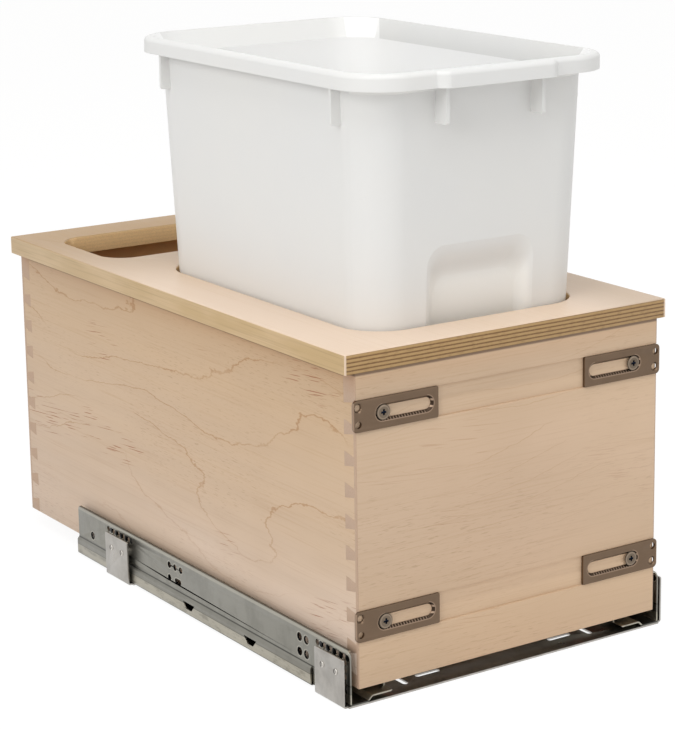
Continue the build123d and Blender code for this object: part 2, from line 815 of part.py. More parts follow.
def hook_cleat():
    """A wooden bar under the bottom panel that the runners' hook pins enter."""
    half = web_x - flange_width - cleat_end_gap
    y0 = runner_back + cleat_gap
    bar = block(-half, half, y0, y0 + cleat_thickness, panel_bottom - cleat_drop, panel_bottom)
    x, z = hook_pin_place()
    for side in (-1, 1):
        bar -= rod_y(hook_pin_radius + hook_pin_play, y0, y0 + cleat_thickness, side * x, z)
    return one_solid(bar)


# ---- soft-close units
def closer_u():
    """Where the left soft-close unit starts and ends, inwards from the web."""
    start = flange_width + closer_gap
    return start, start + closer_width


def closer_housing():
    u0, u1 = closer_u()
    y0, y1 = closer_front, closer_front + closer_length
    z0, z1 = plate_thickness, plate_thickness + closer_height
    wall = closer_wall
    housing = block(rail_x(u0), rail_x(u1), y0, y1, z0, z1)
    housing -= block(rail_x(u0 + wall), rail_x(u1 - wall), y0 + wall, y1 - wall, z0, z1 - wall)
    middle = rail_x((u0 + u1) / 2)
    half = catch_nub_width / 2 + catch_play
    slot_end = y0 + closer_wall + catch_reach() + catch_length + catch_play
    housing -= block(middle - half, middle + half, y0 + closer_wall, slot_end, z1 - closer_wall, z1)
    return one_solid(housing)


def closer_catch():
    u0, u1 = closer_u()
    y0 = closer_front + closer_wall + catch_reach()
    z0, z1 = plate_thickness, plate_thickness + closer_height
    middle = rail_x((u0 + u1) / 2)
    side, top = closer_wall + catch_play, z1 - closer_wall - catch_play
    catch = block(rail_x(u0 + side), rail_x(u1 - side), y0, y0 + catch_length, z0 + catch_play, top)
    half = catch_nub_width / 2
    nub_y = y0 + catch_length - catch_nub_length
    return catch + block(middle - half, middle + half, nub_y, y0 + catch_length, top, z1 + catch_nub_rise)


def closer_damper():
    u0, u1 = closer_u()
    x = rail_x((u0 + u1) / 2)
    z = plate_thickness + (closer_height - closer_wall) / 2
    end = closer_front + closer_length - closer_wall
    start = end - damper_length
    return rod_y(damper_radius, start, end, x, z) + rod_y(rod_radius, start - rod_length, start, x, z)


# ---- front locking clips
def lever_high_z():
    return panel_bottom - lock_plate - lever_play


def lever_low_z():
    return lever_high_z() - lever_thickness


def lever_pivot_y():
    return end_thickness + lock_gap + lever_pivot_inset


def locking_clip():
    """The plate under the bottom panel that carries the left release lever's pin."""
    u0 = drawer_profile_start_u + drawer_profile_width + lock_gap
    y0 = end_thickness + lock_gap
    low = panel_bottom - lock_plate
    plate = block(rail_x(u0), rail_x(u0 + lock_width), y0, y0 + lock_length, low, panel_bottom)
    x, y = rail_x(lever_pivot_u), lever_pivot_y()
    foot = lever_low_z() - lever_play
    plate += rod_z(lever_pin_radius, foot, low, x, y)
    plate += rod_z(lever_pin_head_radius, foot - lever_pin_head, foot, x, y)
    for screw_at in lock_screw_places():
        plate -= rod_z(lock_screw_radius + screw_fit, low, panel_bottom, *screw_at)
        plate -= rod_z(lock_screw_head_radius + screw_fit, low, low + lock_screw_head, *screw_at)
    return one_solid(plate)


def release_lever():
    """The left lever: its tooth stands in the drawer profile and its tab takes a finger."""
    x, y = rail_x(lever_pivot_u), lever_pivot_y()
    z0, z1 = lever_low_z(), lever_high_z()
    half = lever_width / 2
    lever = block(x - half, x + half, y - lever_length, y, z0, z1) + rod_z(half, z0, z1, x, y)
    leg = rail_x(drawer_profile_start_u + drawer_profile_width)
    tooth_y = y - tooth_from_pivot
    half_tooth = tooth_length / 2
    lever += block(leg - runner_steel - tooth_reach, x, tooth_y - half_tooth, tooth_y + half_tooth, z0, z1)
    lever += block(x, x + half + tab_reach, y - lever_length, y - lever_length + tab_length, z0, z1)
    return one_solid(lever - rod_z(lever_pin_radius + lever_pin_play, z0, z1, x, y))


def lock_screw_set():
    """Four small screws, two for each locking clip, with their heads sunk flush in its plate."""
    made = []
    for x, y in lock_screw_places():
        low = panel_bottom - lock_plate
        screw = rod_z(lock_screw_radius, low, panel_bottom + lock_screw_bite - screw_fit, x, y)
        screw += rod_z(lock_screw_head_radius, low, low + lock_screw_head - screw_fit, x, y)
        made += [one_solid(screw), mirrored(one_solid(screw))]
    return made


# ---- all nodes
def main():
    os.makedirs("parts", exist_ok=True)
    save("front_cross_plate", cross_plate(plate_front_inset))
    save("rear_cross_plate", cross_plate(rear_plate_start))
    save("clip_rivets", *clip_rivets())
    left_pieces = {
        "cabinet_profile": [cabinet_profile()],
        "middle_profile": [middle_profile()],
        "drawer_profile": [drawer_profile()],
        "lower_roller_cage": [roller_cage(lower_roller_z)],
        "upper_roller_cage": [roller_cage(upper_roller_z)],
        "lower_rollers": rollers(lower_roller_z),
        "upper_rollers": rollers(upper_roller_z),
        "soft_close_housing": [closer_housing()],
        "soft_close_catch": [closer_catch()],
        "soft_close_damper": [closer_damper()],
        "locking_clip": [locking_clip()],
        "release_lever": [release_lever()],
        "side_board": [side_board()],
    }
    for name, solids in left_pieces.items():
        save(f"left_{name}", *solids)
        save(f"right_{name}", *[mirrored(solid) for solid in solids])
    save("front_board", front_board())
    save("back_board", back_board())
    save("bottom_panel", bottom_panel())
    save("hook_cleat", hook_cleat())
    save("top_deck", deck())
    save("deck_dowels", *dowels(dowel_radius, dowel_in_wall, dowel_in_deck))
    save("locking_clip_screws", *lock_screw_set())
    save("bracket_screws", *bracket_screws())
    for name, bracket in door_brackets().items():
        save(name, bracket)
    save("trash_bin", trash_bin())


main()
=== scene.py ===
"""Pull-out waste unit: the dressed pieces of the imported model, its stage and its camera.

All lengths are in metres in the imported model's own frame: +X to the right, +Y to the back,
+Z up from the cabinet floor. MM turns a size in millimetres into metres.
"""
from math import atan2, pi, radians

import bmesh
import bpy
from mathutils import Matrix, Vector


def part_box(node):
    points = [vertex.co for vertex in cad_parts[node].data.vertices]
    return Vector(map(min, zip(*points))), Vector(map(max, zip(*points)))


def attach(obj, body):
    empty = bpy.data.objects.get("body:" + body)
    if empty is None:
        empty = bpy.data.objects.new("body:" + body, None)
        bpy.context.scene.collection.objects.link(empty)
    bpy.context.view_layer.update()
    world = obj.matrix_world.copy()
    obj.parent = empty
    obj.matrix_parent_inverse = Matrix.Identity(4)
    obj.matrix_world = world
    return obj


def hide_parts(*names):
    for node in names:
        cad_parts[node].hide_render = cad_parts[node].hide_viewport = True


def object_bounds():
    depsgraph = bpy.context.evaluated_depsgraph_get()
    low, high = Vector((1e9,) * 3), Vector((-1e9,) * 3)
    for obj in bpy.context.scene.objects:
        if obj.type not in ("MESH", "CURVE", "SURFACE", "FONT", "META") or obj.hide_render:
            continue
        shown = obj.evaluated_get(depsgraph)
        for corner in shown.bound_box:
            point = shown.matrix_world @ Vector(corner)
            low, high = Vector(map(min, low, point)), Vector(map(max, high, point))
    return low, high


bl_info = {
    "name": "Pull-out waste unit",
    "version": (1, 0, 0),
    "blender": (4, 5, 0),
    "location": "3D View > Sidebar > Waste Unit",
    "description": "Builds the visible pieces of a pull-out waste unit around its packed model",
    "category": "Object",
}

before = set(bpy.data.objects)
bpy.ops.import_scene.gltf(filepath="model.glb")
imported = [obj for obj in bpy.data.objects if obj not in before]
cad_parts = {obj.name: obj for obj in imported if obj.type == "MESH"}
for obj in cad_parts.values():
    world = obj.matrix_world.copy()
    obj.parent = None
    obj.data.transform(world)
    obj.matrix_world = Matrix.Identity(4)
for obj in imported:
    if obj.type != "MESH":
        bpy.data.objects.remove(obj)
cad_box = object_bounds()
MM = 0.001
NEAR = 0.01 * MM

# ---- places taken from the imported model
BOX_LOW, BOX_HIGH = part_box("front_board")
BACK_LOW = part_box("back_board")[0]
DECK_LOW, DECK_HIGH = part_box("top_deck")
BIN_LOW, BIN_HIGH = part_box("trash_bin")
WEB_LOW, WEB_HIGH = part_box("left_cabinet_profile")
FRONT = BOX_LOW.y

# ---- sizes of the bin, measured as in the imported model
BIN_WALL = 2.5 * MM
BIN_SKIRT = 13.5 * MM
BIN_FLARE = 18 * MM
BIN_LAND = 5.5 * MM
BIN_BULGE = 7 * MM
BULGE_HALF = 54 * MM
BULGE_SLOPE = 10 * MM
RIM_FOLD = 1.7 * MM
LAND_Z = BIN_HIGH.z - BIN_WALL - 0.1 * MM
BIN_Y = (BIN_LOW.y + BIN_BULGE + BIN_HIGH.y) / 2
RIM_HALF = Vector((125, 188)) * MM
NECK_HALF = Vector((114, 171)) * MM
FOOT_HALF = Vector((100, 150)) * MM
FOOT_RADIUS = 33 * MM
MOUTH_HALF = Vector((RIM_HALF.x - BIN_LAND, RIM_HALF.y - BIN_LAND))
NECK_Z = BIN_HIGH.z - BIN_FLARE
BIN_FOOT = Vector((0, BIN_Y, BIN_LOW.z))
BIN_EDGE = 0.8 * MM
FIN_HEIGHT = 30 * MM
FIN_THICKNESS = 3 * MM
FIN_TOE, FIN_BEVEL = 2.4 * MM, 0.45 * MM
FRONT_FIN_X = 47 * MM
SIDE_FIN_Y = 133.5 * MM
GRIP_HALF = 50 * MM
GRIP_TOP = 311 * MM
GRIP_DEPTH = 9 * MM
GRIP_LEAD = 3 * MM
GRIP_SLOPE = 2.2
GRIP_FLANK = 0.75
GRIP_RADIUS = 18 * MM
GRIP_EASING = 3.2 * MM

# ---- sizes of the runners, brackets and screws
# The web's holes in millimetres: place along it, height, radius. The slot: place, height, length, width.
HOLE_PLACES = [(68.3 + 5 * j, 31 + 6.2 * k, 3.0) for j in (-1, 1) for k in (-1, 1)]
HOLE_PLACES += [(at, 38, 2.3) for at in (265.5, 275.5, 285.5)] + [(285.5, 26.2, 2.3), (429.6, 25.5, 3.0)]
SLOT_PLACE = (270.5, 26.2, 10, 3.9)
HOLE_RIM = 0.8 * MM
HOLE_RIM_NEAR = 0.12
TOOTH_PITCH, TOOTH_RADIUS, TOOTH_RISE = 9.4 * MM, 2.7 * MM, 0.2 * MM
BRACKET_SLOT_MIDDLE = 48.05 * MM
BRACKET_SLOT_RUN = 41.5 * MM
BRACKET_SLOT_HALF = 4.85 * MM
BRACKET_BEVEL = 2 * MM
BRACKET_TOOTH = 2.7 * MM
CREASE_Z = 18 * MM
WEB_SETBACK = 2 * MM
RIVET_RADIUS = 4 * MM
RIVET_HALF_SPACING = 9.7 * MM
SCREW_HEAD = 6.35 * MM
CROSS_REACH = 3.4 * MM


def srgb(red, green, blue):
    """A colour given as it looks on a screen, 0 to 255, as Blender's linear values."""
    shares = [channel / 255 for channel in (red, green, blue)]
    return tuple(share / 12.92 if share < 0.04045 else ((share + 0.055) / 1.055) ** 2.4 for share in shares)


# ---- what a user would change
def colour(label, about, *rgb):
    return bpy.props.FloatVectorProperty(
        name=label, description=about, subtype="COLOR", size=3, min=0, max=1, default=srgb(*rgb)
    )


def length(label, about, millimetres):
    return bpy.props.FloatProperty(
        name=label, description=about, subtype="DISTANCE", unit="LENGTH", min=0, default=millimetres * MM
    )


class WasteUnitColours(bpy.types.PropertyGroup):
    maple: colour("Maple", "Ground colour of the box's boards", 208, 185, 161)
    grain: colour("Grain", "Lines between the growth rings", 168, 126, 82)
    mineral: colour("Mineral streaks", "Short reddish marks in the maple", 156, 92, 58)
    end_grain: colour("End grain", "Ends of the boards in the dovetail joint", 190, 162, 139)
    deck: colour("Deck face", "Face veneer of the plywood deck", 231, 208, 186)
    deck_edge: colour("Deck edge", "Long-grain edge of the deck", 205, 177, 136)
    deck_hole: colour("Deck openings", "Sawn walls of the deck's openings", 252, 214, 160)
    ply: colour("Dark plies", "End-grain plies on the deck's front edge", 112, 80, 44)
    plastic: colour("Bin", "Moulded plastic of the bin", 232, 232, 230)
    # Painted light: the inside is a paler copy of the bin's own plastic.
    plastic_inside_painted_light: colour("Bin inside", "The bin's inner walls and floor", 250, 250, 249)
    zinc: colour("Zinc plate", "Runner profiles", 142, 140, 132)
    clip: colour("Clip tabs", "Cross plates and their clip tabs", 176, 172, 166)
    bronze: colour("Bronze plate", "Door brackets", 116, 97, 80)
    nickel: colour("Nickel plate", "Bracket screws", 119, 106, 92)
    lever: colour("Levers", "Release levers under the box", 222, 112, 42)


class WasteUnitSizes(bpy.types.PropertyGroup):
    board_edge: length("Board edge", "Width of the bevel on the boards' edges", 0.35)
    deck_edge: length("Deck edge", "Width of the bevel on the deck's upright edges", 0.6)
    sheet_edge: length("Sheet edge", "Width of the bevel on the sheet metal's edges", 0.25)
    bracket_edge: length("Bracket edge", "Width of the bevel on the brackets' edges", 0.35)
    floor_reach: length("Floor reach", "How far the floor runs past the unit", 6000)


# ---- shader maths
def maths(operation, swapped=False):
    """A method that adds one Math node, with this value before the other one or after it."""

    def method(self, other=0.0):
        first, second = (other, self) if swapped else (self, other)
        return self.node("ShaderNodeMath", {"operation": operation}, {0: first, 1: second})

    return method


class Wire:
    """An output of a node. Arithmetic on it adds Math nodes to the same tree."""

    def __init__(self, tree, socket=None):
        self.tree = tree
        self.socket = socket

    def node(self, kind, settings=None, values=None, output=0):
        """Add a node: its settings first, then the value or the link of each input."""
        made = self.tree.nodes.new(kind)
        for name, value in (settings or {}).items():
            setattr(made, name, value)
        for name, value in (values or {}).items():
            if isinstance(value, Wire):
                self.tree.links.new(value.socket, made.inputs[name])
            else:
                made.inputs[name].default_value = value
        return Wire(self.tree, made.outputs[output])

    __add__, __radd__ = maths("ADD"), maths("ADD", swapped=True)
    __sub__, __rsub__ = maths("SUBTRACT"), maths("SUBTRACT", swapped=True)
    __mul__, __rmul__ = maths("MULTIPLY"), maths("MULTIPLY", swapped=True)
    __truediv__, __pow__, __abs__ = maths("DIVIDE"), maths("POWER"), maths("ABSOLUTE")
    fraction, larger, smaller = maths("FRACT"), maths("MAXIMUM"), maths("MINIMUM")

    def within(self, low, high, soft):
        """1 between two values and 0 outside them, with soft ends."""
        return self.rise(low - soft, low + soft) * (1.0 - self.rise(high - soft, high + soft))

    def band(self, low, high, soft):
        """The same in millimetres."""
        return self.within(low * MM, high * MM, soft * MM)

    def rise(self, low, high):
        """0 up to the low value and 1 from the high value on, with a smooth step between."""
        settings = {"interpolation_type": "SMOOTHSTEP", "clamp": True}
        return self.node("ShaderNodeMapRange", settings, {0: self, 1: low, 2: high})

    def parts(self):
        """The three parts of a vector."""
        split = self.node("ShaderNodeSeparateXYZ", values={0: self}).socket.node
        return [Wire(self.tree, socket) for socket in split.outputs]

    def joined(self, x, y, z):
        return self.node("ShaderNodeCombineXYZ", values={0: x, 1: y, 2: z})

    def noise(self, stretch, detail=2, roughness=0.5, seed=0):
        """Noise at this place, with so many cells to the metre along each axis."""
        place = self.node("ShaderNodeVectorMath", {"operation": "MULTIPLY"}, {0: self, 1: stretch})
        place = self.node("ShaderNodeVectorMath", {"operation": "ADD"}, {0: place, 1: (seed, seed, seed)})
        values = {"Vector": place, "Scale": 1.0, "Detail": detail, "Roughness": roughness}
        return self.node("ShaderNodeTexNoise", values=values)

    def blend(self, first, second):
        """A colour between two, by this value."""
        return self.node(
            "ShaderNodeMix", {"data_type": "RGBA"}, {0: self, 6: opaque(first), 7: opaque(second)}, output=2
        )


def opaque(shade):
    """A colour as a socket takes it: four numbers, or the link that it already is."""
    return shade if isinstance(shade, Wire) else (*shade[:3], 1.0)


class Finish:
    """A material, its shader, and the place on the object that its pattern is drawn from."""

    def __init__(self, name, **constants):
        self.material = bpy.data.materials.new(name)
        self.material.use_nodes = True
        tree = self.material.node_tree
        self.shader = tree.nodes["Principled BSDF"]
        self.place = Wire(tree).node("ShaderNodeTexCoord", output=3)
        for socket, value in constants.items():
            self.shader.inputs[socket.replace("_", " ")].default_value = value

    def drive(self, socket, wire):
        self.material.node_tree.links.new(wire.socket, self.shader.inputs[socket])

    def done(self, shade, roughness, height, strength, distance):
        """Link the colour, the roughness and a fine bump, and give the finished material."""
        self.drive("Base Color", shade)
        self.drive("Roughness", roughness)
        values = {"Strength": strength, "Distance": distance, "Height": height}
        self.drive("Normal", height.node("ShaderNodeBump", values=values))
        return self.material


# ---- materials
def colours():
    return bpy.context.scene.waste_unit_colours


def wood_place(finish, grain):
    """The place on a board as along the grain, across it and into it."""
    x, y, z = finish.place.parts()
    along, across, deep = {"x": (x, z, y), "y": (y, z, x), "flat": (y, x, z)}[grain]
    return finish.place.joined(along, across, deep), (x, y, z)


def tinted(shade, *tint):
    """A colour times one number, or times one for each of red, green and blue."""
    return tuple(channel * share for channel, share in zip(shade, tint * 3 if len(tint) == 1 else tint))


def laid(shade, share, ground, *tint):
    """A shade with a tint of the ground colour over a share of it."""
    return share.blend(shade, tinted(ground, *tint))


def growth_lines(wood, seed, pitch, wander):
    """Thin uneven lines where one year's growth meets the next, fading in and out."""
    across = wood.parts()[1]
    drift = wood.noise((3.2, 8.5, 8.5), detail=1, seed=seed) * wander
    wobble = wood.noise((30, 62, 62), detail=4, roughness=0.6, seed=seed + 5.7) * 0.42
    ring = (across * pitch + drift + wobble).fraction()
    edge = abs(ring - 0.5) * 2.0
    fade = wood.noise((7, 17, 17), detail=1, seed=seed + 1.3).rise(0.36, 0.56)
    return edge.rise(0.955, 0.995) * fade + (ring ** 6.0) * fade * 0.1


def hairs(wood, seed):
    """Short dark hairs that lie along the grain, in patches."""
    patch = wood.noise((5, 11, 11), detail=1, seed=seed + 9.2).rise(0.36, 0.66)
    fine = wood.noise((95, 1150, 1150), detail=1, seed=seed + 2.4)
    return patch * fine.rise(0.6, 0.72)


def mineral_streaks(wood, seed):
    """A few reddish marks, thin and slightly aslant, two or three together."""
    along, across, deep = wood.parts()
    slanted = wood.joined(along, across + along * 0.1, deep)
    patch = wood.noise((8, 17, 17), detail=0, seed=seed + 4.4).rise(0.62, 0.7)
    streak = slanted.noise((26, 760, 760), detail=1, seed=seed + 4.6).rise(0.62, 0.7)
    return patch * streak


def maple(name, grain, seed, pitch=22.0, wander=5.0, lines=0.5, fleck=0.35, streaks=0.85,
          tints=((1.0, 1.0, 1.0),) * 3, marks=None):
    """Flat-sawn maple: growth lines, fine fibre, short hairs, a few mineral streaks, a satin coat, and
    painted light and shade by height.
    """
    shades = colours()
    finish = Finish(name, Specular_IOR_Level=0.35)
    wood, (x, y, z) = wood_place(finish, grain)
    ground = tuple(shades.maple)
    broad = wood.noise((2.6, 12, 12), detail=2, seed=seed)
    # Painted light and shade: the ground colour takes one tint low on the box, one in the middle and one
    # high.
    low, mid, high = [tinted(ground, *tint) for tint in tints]
    height = (z - BOX_LOW.z) / (BOX_HIGH.z - BOX_LOW.z)
    shade = height.rise(0.05, 0.55).blend(low, mid)
    shade = height.rise(0.5, 0.92).blend(shade, high)
    shade = laid(shade, broad.rise(0.32, 0.68) * 0.45, ground, 0.9, 0.84, 0.75)
    silk = wood.noise((10, 5, 5), detail=2, seed=seed + 6.1).rise(0.46, 0.72) * 0.16
    shade = laid(shade, silk, ground, 0.86, 0.8, 0.72)
    stronger_above = height.rise(0.1, 0.6) * 0.7 + 0.3
    line = growth_lines(wood, seed, pitch, wander) * stronger_above * lines
    shade = laid(shade, line, shades.grain, 0.98, 0.86, 0.66)
    fibre = wood.noise((11, 640, 640), detail=2, seed=seed + 7.9)
    shade = (fibre.rise(0.48, 0.8) * 0.17).blend(shade, shades.grain)
    shade = laid(shade, hairs(wood, seed) * fleck, shades.grain, 0.7, 0.6, 0.5)
    shade = (mineral_streaks(wood, seed) * streaks).blend(shade, shades.mineral)
    if marks:
        shade = marks(shade, x, y, z)
    return finish.done(shade, fibre * 0.14 + 0.4, fibre, 0.12, 0.08 * MM)


def deck_edges(place, x, y, z, shades):
    """The deck's sides: long-grain veneer left and right, bare plies in front and behind."""
    mottle = place.noise((24, 14, 60), detail=2, seed=1)
    fibre = place.noise((60, 11, 900), detail=2, seed=4)
    edge = mottle.rise(0.35, 0.65).blend(shades.deck_edge, tinted(shades.deck_edge, 0.9, 0.88, 0.8))
    edge = (fibre.rise(0.45, 0.8) * 0.22).blend(edge, shades.ply)
    height = (z - DECK_LOW.z) / (DECK_HIGH.z - DECK_LOW.z)
    wave = place.joined(x, y, 0.0).noise((9, 9, 9), seed=3) * 0.05
    band = abs(((height + wave) * 5.0).fraction() - 0.5) * 2.0
    grit = place.noise((900, 900, 1800), detail=1, seed=8)
    dark = band.rise(0.45, 0.8)
    raw = tinted(shades.deck_edge, 0.78, 0.68, 0.51)
    stripes = (dark * (0.55 + grit * 0.6)).blend(raw, shades.ply)
    coarse = place.noise((160, 160, 500), detail=2, seed=13)
    stripes = (coarse.rise(0.5, 0.75) * 0.3).blend(stripes, shades.ply)
    from_side = DECK_HIGH.x - abs(x)
    stripes = laid(stripes, 1.0 - from_side.rise(1.3 * MM, 1.7 * MM), shades.deck, 1.0, 0.98, 0.94)
    ends = 1.0 - (y - DECK_LOW.y).rise(0.7 * MM, 0.9 * MM)
    ends = ends.larger((y - DECK_HIGH.y).rise(-0.9 * MM, -0.7 * MM))
    edge = ends.blend(edge, stripes)
    inside = from_side.rise(3 * MM, 5 * MM) * (y - DECK_LOW.y).rise(3 * MM, 5 * MM)
    inside = inside * (DECK_HIGH.y - y).rise(3 * MM, 5 * MM)
    sawn = (grit.rise(0.35, 0.75) * 0.14).blend(shades.deck_hole, shades.ply)
    sawn = (band.rise(0.55, 0.85) * 0.07).blend(sawn, shades.ply)
    return inside.blend(edge, sawn)


def deck_plywood():
    """A pale face veneer over the edges of the plies, with painted shade on its right end."""
    shades = colours()
    finish = Finish("maple_plywood", Specular_IOR_Level=0.4)
    x, y, z = finish.place.parts()
    broad = finish.place.noise((7, 2, 4), detail=2, seed=2)
    top = broad.rise(0.35, 0.65).blend(shades.deck, tinted(shades.deck, 0.97, 0.93, 0.86))
    far = y.rise(BIN_Y + 60 * MM, DECK_HIGH.y - 30 * MM)
    top = laid(top, far, shades.deck, 0.58, 0.47, 0.29)
    # Painted shade: the right end of the deck darker.
    top = laid(top, x.rise(60 * MM, 150 * MM) * 0.9, shades.deck, 0.73, 0.7, 0.64)
    streak = finish.place.noise((420, 7, 40), detail=2, seed=6)
    top = (streak.rise(0.55, 0.82) * 0.2).blend(top, shades.deck_edge)
    edge = deck_edges(finish.place, x, y, z, shades)
    on_top = (z - DECK_HIGH.z).rise(-0.9 * MM, -0.5 * MM)
    return finish.done(on_top.blend(edge, top), streak * 0.12 + 0.34, streak, 0.08, 0.08 * MM)


def bin_plastic(name, white, glow=0.0):
    """White moulded plastic with a fine matte skin, with painted light that makes it paler in the grip recess
    and below 40 mm over the deck, where shade falls.

    The glow is painted light: a faint emission on the inside, fading out just under the rim, in place of the
    daylight that thin walls let through.
    """
    finish = Finish(name, Specular_IOR_Level=0.45, Emission_Strength=1.0 if glow else 0.0)
    cloud = finish.place.noise((9, 9, 9), detail=3, seed=1)
    white = tuple(white)
    shade = cloud.rise(0.3, 0.7).blend(white, tinted(white, 0.985, 0.99, 1.0))
    x, y, z = finish.place.parts()
    # Painted light: paler plastic in the grip recess and near the deck, where shade falls.
    recess = x.within(-GRIP_HALF, GRIP_HALF, 3 * MM) * (1.0 - y.rise(BIN_Y - 100 * MM, BIN_Y - 90 * MM))
    recess = recess * (1.0 - z.rise(BIN_LOW.z + GRIP_TOP - 32 * MM, BIN_LOW.z + GRIP_TOP - 14 * MM))
    foot = (1.0 - z.rise(DECK_HIGH.z - 5 * MM, DECK_HIGH.z + 40 * MM)) * 0.25
    shade = laid(shade, recess.larger(foot), white, 1.13, 1.13, 1.12)
    # Painted light: the inside glows faintly, fading out just under the rim.
    if glow:
        depth = 1.0 - z.rise(BIN_HIGH.z - 30 * MM, BIN_HIGH.z - 4 * MM)
        finish.drive("Emission Color", depth.blend((0.0, 0.0, 0.0), (glow, glow, glow)))
    skin = finish.place.noise((1500, 1500, 1500), detail=1, seed=4)
    return finish.done(shade, cloud * 0.1 + 0.36, skin, 0.05, 0.05 * MM)


def brushed_metal(name, ground, along, rough, blotch, scratch, marks=None):
    """Plated steel: smudges, fine scratches along one axis, and a slightly mottled gloss."""
    finish = Finish(name, Metallic=1.0)
    ground = tuple(ground)
    fine = [160.0] * 3
    fine["xyz".index(along)] = 9.0
    smudge = finish.place.noise((60, 60, 42), detail=4, roughness=0.6, seed=2)
    lines = finish.place.noise([cells * 12 for cells in fine], detail=2, seed=5)
    shade = laid(ground, smudge.rise(0.4, 0.66) * blotch, ground, 0.62, 0.62, 0.61)
    shade = laid(shade, lines.rise(0.6, 0.76) * scratch, ground, 1.4)
    if marks:
        shade = marks(shade, *finish.place.parts())
    return finish.done(shade, smudge * 0.22 + rough, lines, 0.1, 0.06 * MM)


def distance(across, up):
    return (across * across + up * up) ** 0.5


def nearest_hole(y, z):
    """How far a place on the web is from the edge of the nearest punched hole."""
    y = y - WEB_LOW.y
    at, up, length_over, width = [size * MM for size in SLOT_PLACE]
    past = (abs(y - at) - (length_over - width) / 2).larger(0.0)
    nearest = distance(past, z - up) - width / 2
    for at, up, radius in HOLE_PLACES:
        nearest = nearest.smaller(distance(y - at * MM, z - up * MM) - radius * MM)
    return nearest


def tooth_edge(y, z):
    """How far a place is from the edge of the nearest round cut-out above a clip tab."""
    nearest = None
    for node in ("front_cross_plate", "rear_cross_plate"):
        low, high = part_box(node)
        for k in range(-2, 3):
            across = y - ((low.y + high.y) / 2 + k * TOOTH_PITCH)
            far = distance(across, z - (high.z + TOOTH_RISE)) - TOOTH_RADIUS
            nearest = far if nearest is None else nearest.smaller(far)
    return nearest


def runner_wear_and_painted_light(shade, x, y, z):
    """Wear and painted light on the fixed profile: painted shade in the holes and along the folds, painted
    highlights round the holes and on the lip, a band of burnish and painted sheen, and scuffs.
    """
    zinc = tuple(colours().zinc)
    height = z - CREASE_Z
    place = x.joined(x, y, z)
    streaks = place.noise((30, 14, 420), detail=2, seed=9)
    worn = place.noise((120, 55, 160), detail=3, roughness=0.7, seed=12)
    # Painted shade: the band just below the crease darker.
    shade = laid(shade, height.band(-6.5, -0.6, 0.4) * 0.35, zinc, 0.74, 0.73, 0.71)
    # A lighter band lower down, part burnish with streaks and part painted sheen.
    burnish_and_painted_sheen = height.band(-15.0, -6.5, 0.5) * (0.45 + streaks * 0.8)
    shade = laid(shade, burnish_and_painted_sheen, zinc, 1.6, 1.54, 1.45)
    scuffed = height.band(-14.5, -7.0, 0.5) * worn.rise(0.5, 0.66) * 0.4
    shade = laid(shade, scuffed, zinc, 0.45, 0.43, 0.4)
    # Painted shade: dark lines along the crease and the two lower bends.
    crease = height.band(-0.5, 0.5, 0.2)
    line = crease.larger(height.band(-16.4, -15.0, 0.3))
    line = line.larger(height.band(-7.0, -6.2, 0.2) * 0.7)
    shade = laid(shade, line * 0.8, zinc, 0.18)
    # Painted highlight on the lip under the top edge, and painted shade along the top edge itself.
    under = WEB_HIGH.z - z
    shade = laid(shade, under.band(0.4, 2.6, 0.4) * 0.75, zinc, 1.6, 1.57, 1.52)
    shade = laid(shade, (1.0 - under.rise(0.15 * MM, 0.45 * MM)) * 0.6, zinc, 0.25)
    # Painted shade inside the holes and the round cut-outs, with a painted highlight round their rims.
    edge = nearest_hole(y, z).smaller(tooth_edge(y, z) + 0.65 * MM)
    shade = laid(shade, edge.band(0.8, 1.5, 0.15) * 0.75, zinc, 1.75, 1.72, 1.66)
    return (1.0 - edge.rise(0.45 * MM, 0.8 * MM)).blend(shade, srgb(24, 24, 26))


def rivet_painted_light(shade, x, y, z):
    """Painted light round each clinched joint: a soft ring, painted shade on its rear half and a painted
    highlight on its front half.
    """
    low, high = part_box("clip_rivets")
    middle_y = (low.y + high.y) / 2
    far = abs(y - middle_y) - ((high.y - low.y) / 2 - RIVET_RADIUS - RIVET_HALF_SPACING)
    across = abs(far) - RIVET_HALF_SPACING
    # Painted light: a ring round each joint, dark on its rear half and bright on its front half.
    ring = distance(across, z - (low.z + high.z) / 2).band(1.5, 2.5, 0.3)
    outer, rear = far.rise(0, 0.1 * MM), (y - middle_y).rise(0, MM)
    lean = (across * (2.0 * outer - 1.0) * (2.0 * rear - 1.0)).rise(-0.6 * MM, 0.6 * MM)
    clip = tuple(colours().clip)
    return (ring * 0.85).blend(shade, lean.blend(tinted(clip, 1.9), tinted(clip, 0.2)))


